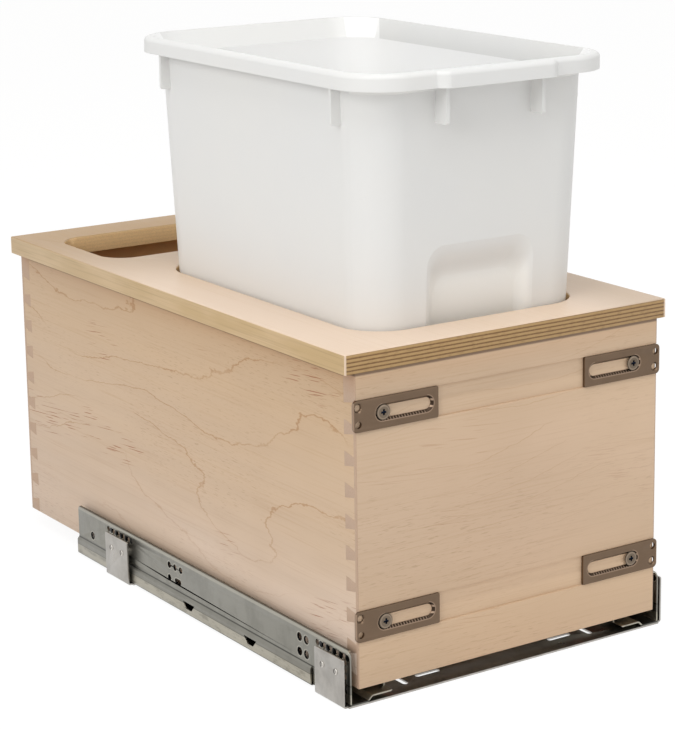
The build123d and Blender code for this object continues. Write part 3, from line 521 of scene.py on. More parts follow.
def bracket_wear_and_painted_light(shade, x, y, z):
    """Painted light on a bracket: painted highlights and shade on the bevel round its slot, toothed below and
    glinting at its ends, a painted highlight on the bevel's outer rim, and a bright tip that is part wear and
    part painted highlight.
    """
    low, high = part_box("lower_left_door_bracket")
    bronze = tuple(colours().bronze)
    dark, bright = tinted(bronze, 0.16, 0.15, 0.16), tinted(bronze, 2.5, 2.6, 2.8)
    lower = (low.z + high.z) / 2
    rise = (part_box("upper_left_door_bracket")[0] - low).z
    up = z - lower - z.rise(lower + rise / 2, lower + rise / 2 + MM) * rise
    along = -low.x - abs(x)
    past = (abs(along - BRACKET_SLOT_MIDDLE) - BRACKET_SLOT_RUN / 2).larger(0.0)
    out = distance(past, up) - BRACKET_SLOT_HALF
    bevel = out.within(0.1 * MM, BRACKET_BEVEL - 0.2 * MM, 0.15 * MM)
    below = (1.0 - up.rise(-4.8 * MM, -4.2 * MM)) * (1.0 - past.rise(0, MM))
    # Painted highlights and shade: the lower bevel drawn as lit and shaded teeth.
    tooth = abs((along / BRACKET_TOOTH).fraction() - 0.5) * 2.0
    toothed = (tooth.rise(0.5, 0.8) * 0.55).blend(dark, bright)
    shade = (bevel * below * 0.9).blend(shade, toothed)
    # Painted glints, bright and dark, on the bevel at the slot's ends.
    glint = up.band(1.6, 3.4, 0.3).larger(up.band(-3.6, -2.2, 0.3))
    shade = (bevel * past.rise(0, 1.5 * MM) * 0.85).blend(shade, glint.blend(dark, bright))
    # Painted highlight along the bevel's outer rim.
    lip = out.within(BRACKET_BEVEL - 0.1 * MM, BRACKET_BEVEL + 0.6 * MM, 0.15 * MM)
    shade = (lip * below.larger(past.rise(0, MM)) * 0.45).blend(shade, bright)
    # The tip is bright: part wear, part painted highlight.
    return ((1.0 - along.rise(0.5 * MM, 0.9 * MM)) * 0.6).blend(shade, bright)


def screw_painted_light(shade, x, y, z):
    """Painted light on a bracket screw: painted shade in its cross recess, a painted highlight on its rim,
    and painted shade on the cone below it.
    """
    low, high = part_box("bracket_screws")
    across = abs(abs(x) - (high.x - SCREW_HEAD))
    middle_z = (low.z + high.z) / 2
    up = abs(abs(z - middle_z) - ((high.z - low.z) / 2 - SCREW_HEAD))
    out = distance(across, up)
    # Painted shade in the cross recess.
    cross = (1.0 - out.rise(2.9 * MM, 3.3 * MM)) * (y - low.y).rise(0.22 * MM, 0.45 * MM)
    nickel = tuple(colours().nickel)
    # Painted highlight on the head's rim, and painted shade on the cone below it.
    shade = laid(shade, out.band(4.6, 5.6, 0.3) * 0.45, nickel, 2.1, 2.1, 2.15)
    shade = laid(shade, out.rise(5.7 * MM, 6.1 * MM) * 0.75, nickel, 0.2)
    return cross.blend(shade, srgb(26, 34, 48))


def moulded(name, ground, rough):
    """A plain moulded plastic with a faint texture, for the small parts under the box."""
    finish = Finish(name)
    ground = tuple(ground)
    grain = finish.place.noise((700, 700, 700), detail=2, seed=3)
    shade = laid(ground, grain.rise(0.35, 0.65), ground, 0.86)
    return finish.done(shade, grain * 0.15 + rough, grain, 0.15, 0.06 * MM)


# ---- modelling helpers
def rest_all():
    """Leave edit mode with nothing selected."""
    if bpy.context.mode != "OBJECT":
        bpy.ops.object.mode_set(mode="OBJECT")
    bpy.ops.object.select_all(action="DESELECT")


def only(piece):
    rest_all()
    piece.select_set(True)
    bpy.context.view_layer.objects.active = piece
    return piece


def edit(piece):
    only(piece)
    bpy.ops.object.mode_set(mode="EDIT")


def edit_whole(piece):
    """Enter edit mode with the whole mesh selected."""
    edit(piece)
    bpy.ops.mesh.select_all(action="SELECT")


def pick(piece, kind, test):
    """In edit mode, select the faces, edges or verts that pass a test, and nothing else."""
    bpy.ops.mesh.select_mode(type={"faces": "FACE", "edges": "EDGE", "verts": "VERT"}[kind])
    bpy.ops.mesh.select_all(action="DESELECT")
    mesh = bmesh.from_edit_mesh(piece.data)
    mesh.normal_update()
    for element in getattr(mesh, kind):
        if test(element):
            element.select_set(True)
    mesh.select_flush_mode()
    bmesh.update_edit_mesh(piece.data)


def middle(element):
    """The middle of a face's or an edge's corners."""
    corners = [corner.co for corner in element.verts]
    return sum(corners, Vector()) / len(corners)


def modify(piece, kind, **settings):
    """Add one modifier and apply it."""
    only(piece)
    modifier = piece.modifiers.new(kind.lower(), kind)
    for name, value in settings.items():
        setattr(modifier, name, value)
    bpy.ops.object.modifier_apply(modifier=modifier.name)
    return piece


def bevelled(piece, width, segments=2, angle=30):
    return modify(
        piece, "BEVEL", width=width, segments=segments, limit_method="ANGLE", angle_limit=radians(angle)
    )


def cut(piece, cutter):
    """Take one closed shape out of another, and delete it."""
    modify(piece, "BOOLEAN", operation="DIFFERENCE", solver="EXACT", object=cutter)
    bpy.data.objects.remove(cutter)
    return piece


def tidy_normals(piece):
    edit_whole(piece)
    bpy.ops.mesh.remove_doubles(threshold=0.001 * MM)
    bpy.ops.mesh.normals_make_consistent(inside=False)
    rest_all()
    return piece


def smooth(piece, angle=30):
    only(piece)
    bpy.ops.object.shade_smooth_by_angle(angle=radians(angle))
    return piece


def joined(name, pieces):
    """Several objects as one, with the first one's name."""
    rest_all()
    for piece in pieces:
        piece.select_set(True)
    bpy.context.view_layer.objects.active = pieces[0]
    bpy.ops.object.join()
    pieces[0].name = name
    return pieces[0]


def added(name):
    """The object that was just added, named, with its place and size moved into its mesh."""
    bpy.ops.object.transform_apply(location=True, rotation=True, scale=True)
    piece = bpy.context.object
    piece.name = name
    return piece


def block(name, low, high):
    """A box between two corners, to be shaped further."""
    rest_all()
    low, high = Vector(low), Vector(high)
    bpy.ops.mesh.primitive_cube_add(size=1, location=(low + high) / 2, scale=high - low)
    return added(name)


def rounded_plate(name, half_x, half_y, radius, centre):
    """A flat rounded rectangle, left in edit mode with its face selected."""
    rest_all()
    bpy.ops.mesh.primitive_plane_add(size=1, location=centre)
    bpy.context.object.scale = (2 * half_x, 2 * half_y, 1)
    piece = added(name)
    edit_whole(piece)
    bpy.ops.mesh.bevel(offset=radius, segments=10, affect="VERTICES", offset_type="OFFSET")
    bpy.ops.mesh.select_all(action="SELECT")
    return piece


def raise_face(height, size, next_size, centre):
    """Extrude the selected face or edges upwards and scale the new ones about a point, size to size."""
    bpy.ops.mesh.extrude_region_move(TRANSFORM_OT_translate={"value": (0, 0, height)})
    grow = (next_size[0] / size[0], next_size[1] / size[1], 1)
    bpy.ops.transform.resize(value=grow, center_override=centre)


def turned(name, start, stations, axis, sides=32):
    """A round part along X or Y: its radius at each place along the axis, closed at both ends."""
    rest_all()
    along = Vector((1, 0, 0)) if axis == "x" else Vector((0, 1, 0))
    turn = (0, pi / 2, 0) if axis == "x" else (pi / 2, 0, 0)
    first, radius = Vector(start) + along * stations[0][0], stations[0][1]
    bpy.ops.mesh.primitive_circle_add(
        vertices=sides, radius=radius, fill_type="NGON", location=first, rotation=turn
    )
    piece = added(name)
    edit_whole(piece)
    for (place, radius), (next_place, next_radius) in zip(stations, stations[1:]):
        step = along * (next_place - place)
        bpy.ops.mesh.extrude_region_move(TRANSFORM_OT_translate={"value": step})
        grow = next_radius / radius
        value = (1, grow, grow) if axis == "x" else (grow, 1, grow)
        bpy.ops.transform.resize(value=value, center_override=Vector(start) + along * next_place)
    return tidy_normals(piece)


def linked(name, data):
    """A new object in the scene that holds some data."""
    holder = bpy.data.objects.new(name, data)
    bpy.context.collection.objects.link(holder)
    return holder


def merged_copy(node):
    """A CAD node's mesh as a new object, with its loose triangles joined into whole faces."""
    piece = linked(f"{node}_visual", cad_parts[node].data.copy())
    edit_whole(piece)
    bpy.ops.mesh.remove_doubles(threshold=0.002 * MM)
    bpy.ops.mesh.customdata_custom_splitnormals_clear()
    bpy.ops.mesh.dissolve_limited(angle_limit=radians(0.5))
    rest_all()
    return piece


def dress(piece, material, body):
    """Give a finished piece its material and its body."""
    piece.data.materials.clear()
    piece.data.materials.append(material)
    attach(piece, body)
    return piece


def dress_node(node, edge, material, body, shape=None):
    """Bevel a CAD node's mesh by one of the unit's sizes, after any shaping, to stand for the node."""
    piece = merged_copy(node)
    if shape:
        shape(piece)
    smooth(bevelled(piece, getattr(bpy.context.scene.waste_unit_sizes, edge)))
    dress(piece, material, body)
    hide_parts(node)


def paint_node(node, material):
    """Give a CAD node that stays its material."""
    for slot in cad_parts[node].material_slots:
        slot.material = material


def paint_sides(material, *names):
    """Give CAD nodes that stay, on the left and on the right, their material."""
    for side in ("left", "right"):
        for name in names:
            paint_node(f"{side}_{name}", material)


# ---- wooden box
def painted_deck_shadow(shade, x, y, z, deep=3.8 * MM):
    """A painted shadow under the deck's edge: a dark band just below the deck, and painted shade that deepens
    over the last 22 mm towards the deck.
    """
    # Painted shadow and painted shade, where the deck's edge overhangs the board.
    shadow_line = (z - DECK_LOW.z).rise(-deep - 1.7 * MM, -deep) * 0.75
    shade_under_deck = (z - DECK_LOW.z).rise(-22 * MM, 0) * 0.25
    shade = laid(shade, shade_under_deck, colours().grain, 1.0, 0.95, 0.9)
    return shadow_line.blend(shade, srgb(70, 50, 36))


def end_board_marks(shade, x, y, z):
    """End grain on the faces in the dovetail joint, a warm painted reflection on the back board's inner face,
    painted light that makes the left half darker and the right half paler, and the painted shadow under the
    deck.
    """
    maple_ground = colours().maple
    # Painted reflection: a warm tint on the back board's inner face, for the light that the wood throws back
    # inside the box.
    inner = y.within(BACK_LOW.y - MM, BACK_LOW.y + 0.3 * MM, 0.1 * MM)
    shade = laid(shade, inner, maple_ground, 1.3, 1.02, 0.66)
    # Painted light: the left half a little darker and the right half paler.
    shade = laid(shade, (1.0 - x.rise(BOX_LOW.x, 0)) * 0.22, maple_ground, 0.84, 0.84, 0.8)
    shade = laid(shade, x.rise(0, BOX_HIGH.x) * 0.3, maple_ground, 1.34, 1.28, 1.16)
    at_end = (abs(x) - BOX_HIGH.x).rise(-0.9 * MM, -0.6 * MM)
    pores = x.joined(x, y, z).noise((900, 900, 900), detail=1, seed=3).rise(0.5, 0.75) * 0.25
    pink = laid(colours().end_grain, pores, colours().end_grain, 0.7, 0.66, 0.62)
    return painted_deck_shadow(at_end.blend(shade, pink), x, y, z, 1.2 * MM)


class WasteUnitBoards(bpy.types.Operator):
    """Bevel the boards of the box and give them their grain"""

    bl_idname = "waste_unit.boards"
    bl_label = "Wooden box"

    def execute(self, context):
        side = {"lines": 0.6, "marks": painted_deck_shadow}
        # Painted light: the side boards are paler low down, where the floor throws light back, and darker and
        # warmer up under the deck.
        side["tints"] = (1.15, 1.2, 1.34), (1.02, 0.98, 0.92), (0.965, 0.89, 0.76)
        fine = {"pitch": 60.0, "wander": 7.0, "lines": 0.26, "fleck": 0.29, "streaks": 0.25}
        # Painted light: the front and back boards are tinted by height, lightest in the middle.
        fine["tints"] = (1.08, 1.0, 0.9), (1.14, 1.09, 1.08), (1.1, 1.05, 1.0)
        fine["marks"] = end_board_marks
        boards = {
            "left_side_board": maple("maple_left", "y", 11.0, **side),
            "right_side_board": maple("maple_right", "y", 23.0, **side),
            "front_board": maple("maple_front", "x", 31.0, **fine),
            "back_board": maple("maple_back", "x", 47.0, **fine),
            "bottom_panel": maple("maple_panel", "flat", 59.0),
        }
        for node, material in boards.items():
            dress_node(node, "board_edge", material, "drawer")
        paint_node("hook_cleat", maple("maple_cleat", "x", 67.0))
        paint_node("deck_dowels", maple("maple_dowels", "x", 71.0))
        return {"FINISHED"}


class WasteUnitDeck(bpy.types.Operator):
    """Round the deck's edges and give it its veneer and plies"""

    bl_idname = "waste_unit.deck"
    bl_label = "Plywood deck"

    def execute(self, context):
        dress_node("top_deck", "deck_edge", deck_plywood(), "drawer")
        return {"FINISHED"}


# ---- bin
def grip_section(depth):
    """Half width and top of the grip recess at a depth, eased at the wall and at the bottom."""
    lead = min(1, max(0, 1 - depth / GRIP_EASING)) ** 2 * GRIP_EASING
    left = max(0, depth - (GRIP_DEPTH - GRIP_EASING))
    foot = GRIP_EASING - (GRIP_EASING ** 2 - left ** 2) ** 0.5
    half = GRIP_HALF - GRIP_FLANK * depth + lead - foot
    return half, GRIP_TOP - GRIP_SLOPE * depth + 1.3 * lead - 1.6 * foot


def grip_cutter():
    """The recess low on the front of the bin, a tapered rounded shape that leans with the wall."""
    foot = Vector((0, BIN_Y - FOOT_HALF.y, BIN_LOW.z))
    depths = [-GRIP_LEAD, 0] + [GRIP_EASING * share for share in (0.12, 0.3, 0.55, 1)]
    depths += [GRIP_DEPTH - GRIP_EASING * share for share in (1, 0.6, 0.35, 0.15, 0.04, 0)]
    cutter = rounded_plate("grip", *grip_section(depths[0]), GRIP_RADIUS, foot + Vector((0, 0, depths[0])))
    for depth, deeper in zip(depths, depths[1:]):
        raise_face(deeper - depth, grip_section(depth), grip_section(deeper), foot)
    rest_all()
    lean = atan2(NECK_HALF.y - FOOT_HALF.y, NECK_Z - BIN_LOW.z)
    upright = Matrix.Translation(foot) @ Matrix.Rotation(lean, 4, "X") @ Matrix(
        ((1, 0, 0, 0), (0, 0, 1, 0), (0, 1, 0, 0), (0, 0, 0, 1))
    ) @ Matrix.Translation(-foot)
    cutter.data.transform(upright)
    return tidy_normals(cutter)


def bin_form():
    """The bin's outside as a closed shape: foot, tapered wall and flare."""
    form = rounded_plate("trash_bin_visual", *FOOT_HALF, FOOT_RADIUS, BIN_FOOT)
    raise_face(NECK_Z - BIN_LOW.z, FOOT_HALF, NECK_HALF, BIN_FOOT)
    raise_face(LAND_Z - NECK_Z, NECK_HALF, MOUTH_HALF, BIN_FOOT)
    return tidy_normals(form)


def bulge_at(x):
    """How far the rim's front stands out at a place along it: flat, with an S-shaped slope at each end."""
    share = min(1, max(0, (BULGE_HALF + BULGE_SLOPE / 2 - abs(x)) / BULGE_SLOPE))
    return BIN_BULGE * share * share * (3 - 2 * share)


def add_rim(shell):
    """Open the top, fold the rim outwards and down, and push its front out into the hand-hold."""
    edit(shell)
    pick(shell, "faces", lambda face: face.normal.z > 0.9 and middle(face).z > LAND_Z - MM)
    bpy.ops.mesh.delete(type="ONLY_FACE")
    pick(shell, "edges", lambda edge: edge.is_boundary)
    outer = Vector((RIM_HALF.x - BIN_WALL, RIM_HALF.y - BIN_WALL))
    raise_face(0, MOUTH_HALF, outer, BIN_FOOT)
    raise_face(BIN_WALL - BIN_SKIRT, outer, outer, BIN_FOOT)
    rim_y = BIN_Y - outer.y
    slices = 6
    for side in (-1, 1):
        for k in range(slices + 1):
            x = side * (BULGE_HALF + BULGE_SLOPE * (0.5 - k / slices))
            pick(shell, "faces", at_rim_front)
            bpy.ops.mesh.bisect(plane_co=(x, 0, 0), plane_no=(1, 0, 0))
    pick(shell, "verts", lambda vert: False)
    mesh = bmesh.from_edit_mesh(shell.data)
    places = sorted({round(vert.co.x, 6) for vert in mesh.verts if abs(vert.co.y - rim_y) < NEAR})
    for x in places:
        if bulge_at(x) > 0:
            pick(shell, "verts", lambda vert: abs(vert.co.y - rim_y) < NEAR and abs(vert.co.x - x) < NEAR)
            bpy.ops.transform.translate(value=(0, -bulge_at(x), 0))
    pick(shell, "edges", at_rim_fold)
    bpy.ops.mesh.bevel(offset=RIM_FOLD, segments=4)
    rest_all()
    return shell


def at_rim_front(face):
    """Whether a face is part of the rim in front of the wall."""
    return middle(face).y < BIN_Y - NECK_HALF.y and middle(face).z > LAND_Z - BIN_SKIRT


def at_rim_fold(edge):
    """Whether an edge is where the rim's flat top turns down into its skirt."""
    level = all(abs(vert.co.z - LAND_Z) < NEAR for vert in edge.verts)
    upright = any(abs(face.normal.z) < 0.1 for face in edge.link_faces)
    return level and upright


def fin(place, neck_x, mouth_x, reach):
    """A gusset under the rim, from the wall out to the skirt; its root leans out with the flare."""
    low = (0, -FIN_THICKNESS / 2, -(FIN_HEIGHT + BIN_SKIRT))
    neck_z = -(BIN_FLARE - BIN_WALL / 2)
    plate = block("fin", low, (reach, FIN_THICKNESS / 2, -BIN_WALL / 2))
    edit_whole(plate)
    bpy.ops.mesh.bisect(plane_co=(0, 0, neck_z), plane_no=(0, 0, 1))
    for z, shift in ((neck_z, neck_x), (-BIN_WALL / 2, mouth_x)):
        pick(plate, "verts", lambda vert: abs(vert.co.x) < NEAR and abs(vert.co.z - z) < NEAR)
        bpy.ops.transform.translate(value=(shift, 0, 0))
    edge_x, edge_z = reach - 0.1 * MM, low[2] + 0.1 * MM
    pick(plate, "edges", lambda edge: middle(edge).x > edge_x and middle(edge).z < edge_z)
    bpy.ops.mesh.bevel(offset=FIN_TOE, segments=4)
    pick(plate, "faces", lambda face: face.normal.z < -0.5)
    bpy.ops.mesh.bevel(offset=NEAR, segments=1)
    rest_all()
    plate.data.transform(place)
    return bevelled(plate, FIN_BEVEL)


def fins():
    """Eight gussets: two under each side of the rim."""
    top = BIN_HIGH.z
    share = (NECK_Z - FIN_HEIGHT - BIN_LOW.z) / (NECK_Z - BIN_LOW.z)
    half_wall = Vector((1, 1)) * BIN_WALL / 2
    root = FOOT_HALF + (NECK_HALF - FOOT_HALF) * share - half_wall
    neck = NECK_HALF - half_wall - root
    mouth = MOUTH_HALF - half_wall - root
    reach = RIM_HALF - 2 * half_wall - root
    made = []
    for side in (-1, 1):
        for y in (-SIDE_FIN_Y, SIDE_FIN_Y):
            turn = Matrix.Rotation(0 if side > 0 else pi, 4, "Z")
            place = Matrix.Translation((side * root.x, BIN_Y + y, top)) @ turn
            made.append(fin(place, neck.x, mouth.x, reach.x))
        for x in (-FRONT_FIN_X, FRONT_FIN_X):
            turn = Matrix.Rotation(side * pi / 2, 4, "Z")
            place = Matrix.Translation((x, BIN_Y + side * root.y, top)) @ turn
            made.append(fin(place, neck.y, mouth.y, reach.y))
    return made


def faces_inside(face):
    """Whether a face of the bin is one of its inner walls or its floor."""
    share = (face.center.z - BIN_LOW.z) / (NECK_Z - BIN_LOW.z)
    wall = FOOT_HALF + (NECK_HALF - FOOT_HALF) * min(share, 1)
    out = Vector((face.center.x, face.center.y - BIN_Y))
    floor = face.normal.z > 0.9 and share < 0.1
    wall += Vector((1, 1)) * BIN_FLARE * max(0, share - 1)
    within = abs(out.x) < wall.x - MM and abs(out.y) < wall.y - MM
    facing = out.x / wall.x ** 2 * face.normal.x + out.y / wall.y ** 2 * face.normal.y
    return floor or within and facing < -0.5


class WasteUnitBin(bpy.types.Operator):
    """Model the moulded bin with its flared wall, rim, gussets and grip recess"""

    bl_idname = "waste_unit.bin"
    bl_label = "Bin"

    def execute(self, context):
        shell = add_rim(cut(bin_form(), grip_cutter()))
        modify(shell, "SOLIDIFY", thickness=BIN_WALL, offset=-1, use_even_offset=True)
        bevelled(shell, BIN_EDGE, segments=3, angle=25)
        whole = smooth(joined("trash_bin_visual", [shell, *fins()]), 40)
        modify(whole, "WEIGHTED_NORMAL", keep_sharp=True, weight=60)
        dress(whole, bin_plastic("bin_plastic", colours().plastic), "bin")
        # Painted light: the inner walls and floor get a paler copy of the plastic with a faint glow.
        whole.data.materials.append(bin_plastic("bin_inside", colours().plastic_inside_painted_light, 0.024))
        for face in whole.data.polygons:
            face.material_index = int(faces_inside(face))
        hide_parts("trash_bin")
        return {"FINISHED"}


# ---- door brackets and their screws
class WasteUnitBrackets(bpy.types.Operator):
    """Bevel the four slotted door brackets and plate them"""

    bl_idname = "waste_unit.brackets"
    bl_label = "Door brackets"

    def execute(self, context):
        metal = brushed_metal("bronze_bracket", colours().bronze, "x", 0.28, 0.12, 0.15, bracket_wear_and_painted_light)
        for level in ("upper", "lower"):
            for side in ("left", "right"):
                node, body = f"{level}_{side}_door_bracket", f"{level}_{side}_bracket"
                dress_node(node, "bracket_edge", metal, body)
        return {"FINISHED"}


def cross_recess(place, half_long, half_wide, depth):
    """A cross-shaped cutter whose four wings narrow towards the bottom."""
    wings = []
    for wide in (False, True):
        x, z = (half_long, half_wide) if wide else (half_wide, half_long)
        wing = block("wing", (-x, -1 * MM, -z), (x, depth, z))
        edit(wing)
        pick(wing, "faces", lambda face: face.normal.y > 0.9)
        shrink = (0.45, 1, 0.75) if wide else (0.75, 1, 0.45)
        bpy.ops.transform.resize(value=shrink, center_override=(0, depth, 0))
        rest_all()
        wing.data.transform(Matrix.Translation(place))
        wings.append(wing)
    return wings


def bracket_screw(x, z):
    """A low domed screw head with a cross recess, its cone in the slot and its shank in the board."""
    low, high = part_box("bracket_screws")
    depth = (high.y - low.y) / MM
    stations = [(0, 1.8), (0.05, 3.4), (0.18, 4.7), (0.4, 5.8), (0.6, 6.3), (0.8, 6.12), (2.33, 4.6)]
    stations += [(2.36, 2.2), (depth - 3, 2.2), (depth, 0.4)]
    stations = [(place * MM, radius * MM) for place, radius in stations]
    screw = turned("bracket_screw", (x, low.y, z), stations, "y", sides=40)
    for wing in cross_recess(Vector((x, low.y, z)), CROSS_REACH, 1.0 * MM, 1.5 * MM):
        cut(screw, wing)
    return bevelled(screw, 0.1 * MM, angle=35)


class WasteUnitScrews(bpy.types.Operator):
    """Turn the four screws that hold the brackets"""

    bl_idname = "waste_unit.screws"
    bl_label = "Bracket screws"

    def execute(self, context):
        low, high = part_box("bracket_screws")
        levels = (low.z + SCREW_HEAD, high.z - SCREW_HEAD)
        places = [(x, z) for z in levels for x in (low.x + SCREW_HEAD, high.x - SCREW_HEAD)]
        screws = joined("bracket_screws_visual", [bracket_screw(x, z) for x, z in places])
        metal = brushed_metal("screw_steel", colours().nickel, "y", 0.22, 0.4, 0.2, screw_painted_light)
        dress(smooth(screws), metal, "drawer")
        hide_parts("bracket_screws")
        paint_node("locking_clip_screws", metal)
        return {"FINISHED"}


# ---- runners and cross plates
class WasteUnitPlates(bpy.types.Operator):
    """Bevel the two cross plates with their clip tabs"""

    bl_idname = "waste_unit.plates"
    bl_label = "Cross plates"

    def execute(self, context):
        metal = brushed_metal("bright_steel", colours().clip, "x", 0.2, 0.45, 0.25)
        for node in ("front_cross_plate", "rear_cross_plate"):
            dress_node(node, "sheet_edge", metal, "runner_base")
        paint_sides(metal, "soft_close_damper")
        return {"FINISHED"}


def rivet(x, y, z, side):
    """A clinched joint: a dished head outside the tab, its collar and its inner head."""
    head, tab, collar, web = 0.5 * MM, 1.5 * MM, 4.0 * MM, 1.2 * MM
    tab_back = head + tab
    web_face = tab_back + collar
    web_back = web_face + web
    spans = [(0.25 * MM, 1.5), (0, 2.0), (0.05 * MM, 2.4), (head, 2.75), (head, 2.0), (tab_back, 2.0)]
    spans += [(tab_back, 4.0), (web_face, 4.0), (web_face, 2.0), (web_back, 2.0), (web_back, 2.8)]
    spans += [(web_back + head, 2.4)]
    stations = [(-side * place, radius * MM) for place, radius in spans]
    return turned("rivet", (x, y, z), stations, "x", sides=28)


class WasteUnitRivets(bpy.types.Operator):
    """Turn the rivets that join the clip tabs to the runners"""

    bl_idname = "waste_unit.rivets"
    bl_label = "Clip rivets"

    def execute(self, context):
        low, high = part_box("clip_rivets")
        metal = brushed_metal("rivet_steel", colours().clip, "x", 0.4, 0.3, 0.0, rivet_painted_light)
        z, inset = (low.z + high.z) / 2, RIVET_RADIUS + RIVET_HALF_SPACING
        made = []
        for side in (-1, 1):
            for pair in (low.y + inset, high.y - inset):
                made += [rivet(side * high.x, pair + way * RIVET_HALF_SPACING, z, side) for way in (-1, 1)]
        rivets = smooth(joined("clip_rivets_visual", made))
        dress(rivets, metal, "runner_base")
        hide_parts("clip_rivets")
        return {"FINISHED"}


def at_hole_edge(vert, side):
    """Whether a corner lies on the rim of a punched hole, on the outer face of the web."""
    if abs(abs(vert.co.x) - (abs(WEB_LOW.x) - WEB_SETBACK)) > 2 * NEAR or vert.co.x * side < 0:
        return False
    y, z = (vert.co.y - WEB_LOW.y) / MM, vert.co.z / MM
    at, up, length_over, width = SLOT_PLACE
    past = max(0, abs(y - at) - (length_over - width) / 2)
    off = [distance(y - at, z - up) - radius for at, up, radius in HOLE_PLACES]
    off.append(distance(past, z - up) - width / 2)
    return any(abs(gap) < HOLE_RIM_NEAR for gap in off)


def rim_holes(profile, side):
    """Draw in the rims of the punched holes."""
    edit(profile)
    pick(profile, "edges", lambda edge: all(at_hole_edge(vert, side) for vert in edge.verts))
    bpy.ops.mesh.bevel(offset=HOLE_RIM, segments=2)
    rest_all()


class WasteUnitRunners(bpy.types.Operator):
    """Bevel the fixed profiles, and plate all the profiles of the runners"""

    bl_idname = "waste_unit.runners"
    bl_label = "Runners"

    def execute(self, context):
        zinc = brushed_metal("galvanised_steel", colours().zinc, "y", 0.26, 0.5, 0.35)
        # This material carries painted light and shade as well as wear.
        worn = brushed_metal("worn_zinc", colours().zinc, "y", 0.26, 0.3, 0.25, runner_wear_and_painted_light)
        for side, sign in (("left", -1), ("right", 1)):
            node, slot = f"{side}_cabinet_profile", "galvanised_steel"
            dress_node(node, "sheet_edge", worn, "runner_base", lambda piece: rim_holes(piece, sign))
        paint_sides(zinc, "middle_profile", "drawer_profile")
        return {"FINISHED"}


class WasteUnitMouldings(bpy.types.Operator):
    """Give the small plastic parts under the box their finishes"""

    bl_idname = "waste_unit.mouldings"
    bl_label = "Plastic parts"

    def execute(self, context):
        dark = moulded("dark_plastic", srgb(46, 46, 48), 0.35)
        grey = moulded("grey_plastic", srgb(150, 152, 154), 0.4)
        orange = moulded("lever_plastic", colours().lever, 0.3)
        paint_sides(dark, "lower_rollers", "upper_rollers", "soft_close_housing")
        paint_sides(grey, "lower_roller_cage", "upper_roller_cage", "soft_close_catch", "locking_clip")
        paint_sides(orange, "release_lever")
        return {"FINISHED"}


# ---- stage
def seen_ray(wire):
    """1 for what the camera sees straight, in a reflection or through glass."""
    path = wire.node("ShaderNodeLightPath").socket.node.outputs
    kinds = ("Camera", "Glossy", "Transmission")
    camera, glossy, through = [Wire(wire.tree, path[f"Is {kind} Ray"]) for kind in kinds]
    return camera.larger(glossy).larger(through)


def studio_world():
    """Plain even light, and white behind the object."""
    world = bpy.data.worlds.new("studio")
    world.use_nodes = True
    tree = world.node_tree
    light = tree.nodes["Background"]
    light.inputs["Color"].default_value = (1.0, 0.985, 0.965, 1)
    light.inputs["Strength"].default_value = 0.5
    white = Wire(tree).node("ShaderNodeBackground", values={0: (1, 1, 1, 1), 1: 1.0})
    mix = {0: seen_ray(white), 1: Wire(tree, light.outputs[0]), 2: white}
    shown = white.node("ShaderNodeMixShader", values=mix)
    tree.links.new(shown.socket, tree.nodes["World Output"].inputs["Surface"])
    bpy.context.scene.world = world


def floor_paint():
    """A white floor that keeps a soft part of the shadow."""
    material = bpy.data.materials.new("studio_floor")
    material.use_nodes = True
    tree = material.node_tree
    matte = Wire(tree).node("ShaderNodeBsdfDiffuse", values={"Color": (0.92, 0.92, 0.92, 1)})
    glow = matte.node("ShaderNodeEmission", values={"Color": (1, 1, 1, 1), "Strength": 1.08})
    share = seen_ray(matte) * 0.84
    shown = matte.node("ShaderNodeMixShader", values={0: share, 1: matte, 2: glow})
    tree.links.new(shown.socket, tree.nodes["Material Output"].inputs["Surface"])
    return material


def lamp(name, place, aim, size, watts):
    """A square soft light that faces a point."""
    light = bpy.data.lights.new(name, "AREA")
    light.size = size
    light.energy = watts
    holder = linked(name, light)
    holder.location = place
    holder.rotation_euler = (Vector(aim) - Vector(place)).to_track_quat("-Z", "Y").to_euler()


def photo_camera():
    """The camera where the photograph was taken from, found from the unit's corners."""
    turn, tilt, roll = radians(-34.22), radians(12.57), radians(-0.68)
    place = Vector((-1115.35, -1449.79, 728.33)) * MM + Vector((0, FRONT, 0))
    image_width, image_height = 675, 730
    focal_pixels, centre_right, centre_down = 2370.08, 39.51, -81.19
    data = bpy.data.cameras.new("photo_camera")
    data.sensor_width = 36
    data.lens = focal_pixels * data.sensor_width / max(image_width, image_height)
    data.shift_x = -centre_right / image_height
    data.shift_y = centre_down / image_height
    data.clip_start, data.clip_end = 0.05, 60
    camera = linked("photo_camera", data)
    aimed = Matrix.Rotation(turn, 4, "Z") @ Matrix.Rotation(pi / 2 - tilt, 4, "X")
    camera.matrix_world = Matrix.Translation(place) @ (aimed @ Matrix.Rotation(roll, 4, "Z"))
    bpy.context.scene.camera = camera


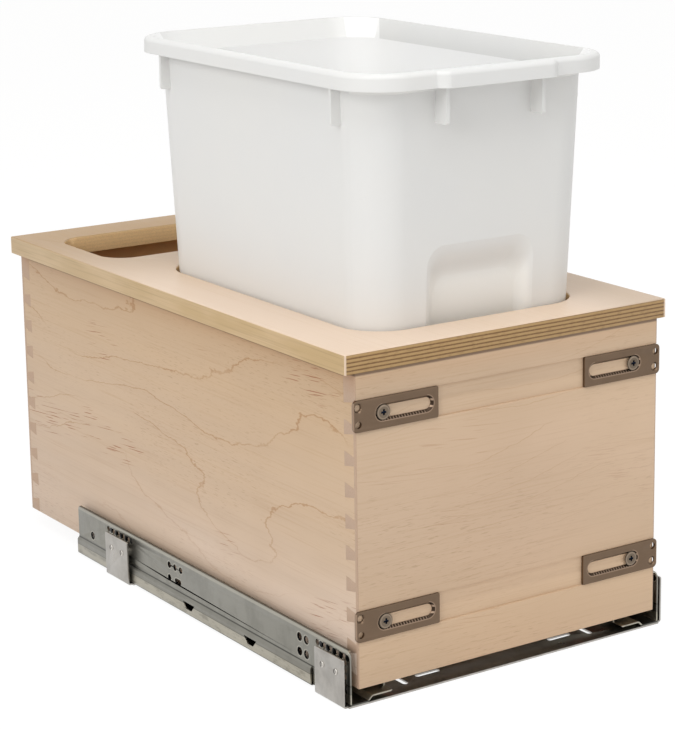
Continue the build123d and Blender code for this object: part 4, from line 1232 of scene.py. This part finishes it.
class WasteUnitStage(bpy.types.Operator):
    """Add the floor, the light and the camera"""

    bl_idname = "waste_unit.stage"
    bl_label = "Stage"

    def execute(self, context):
        reach = context.scene.waste_unit_sizes.floor_reach
        rest_all()
        bpy.ops.mesh.primitive_plane_add(size=2 * reach, location=(0, 0, cad_box[0].z))
        floor = added("studio_floor")
        floor.data.materials.append(floor_paint())
        studio_world()
        aim = (0, 0, 0.25)
        lamp("key_light", (-2.6, -0.9, 1.7), aim, 1.6, 25)
        lamp("fill_light", (1.2, -2.9, 1.3), aim, 2.0, 6)
        lamp("top_light", (-0.35, -0.9, 2.9), aim, 2.0, 36)
        photo_camera()
        context.scene.view_settings.view_transform = "Standard"
        return {"FINISHED"}


class WasteUnitPanel(bpy.types.Panel):
    """The pieces of the waste unit, in the order that they are made"""

    bl_idname = "VIEW3D_PT_waste_unit"
    bl_label = "Waste Unit"
    bl_space_type = "VIEW_3D"
    bl_region_type = "UI"
    bl_category = "Waste Unit"

    def draw(self, context):
        for group in (context.scene.waste_unit_colours, context.scene.waste_unit_sizes):
            for name in group.bl_rna.properties.keys():
                if name not in ("rna_type", "name"):
                    self.layout.prop(group, name)
        for made in OPERATORS:
            self.layout.operator(made.bl_idname)


OPERATORS = (
    WasteUnitBoards,
    WasteUnitDeck,
    WasteUnitBin,
    WasteUnitBrackets,
    WasteUnitScrews,
    WasteUnitRunners,
    WasteUnitPlates,
    WasteUnitRivets,
    WasteUnitMouldings,
    WasteUnitStage,
)
CLASSES = (WasteUnitColours, WasteUnitSizes, *OPERATORS, WasteUnitPanel)


def register():
    for made in CLASSES:
        bpy.utils.register_class(made)
    bpy.types.Scene.waste_unit_colours = bpy.props.PointerProperty(type=WasteUnitColours)
    bpy.types.Scene.waste_unit_sizes = bpy.props.PointerProperty(type=WasteUnitSizes)


def unregister():
    del bpy.types.Scene.waste_unit_sizes
    del bpy.types.Scene.waste_unit_colours
    for made in reversed(CLASSES):
        bpy.utils.unregister_class(made)


def main():
    register()
    for made in OPERATORS:
        getattr(bpy.ops.waste_unit, made.bl_idname.split(".")[1])()
    rest_all()


if __name__ == "__main__":
    main()
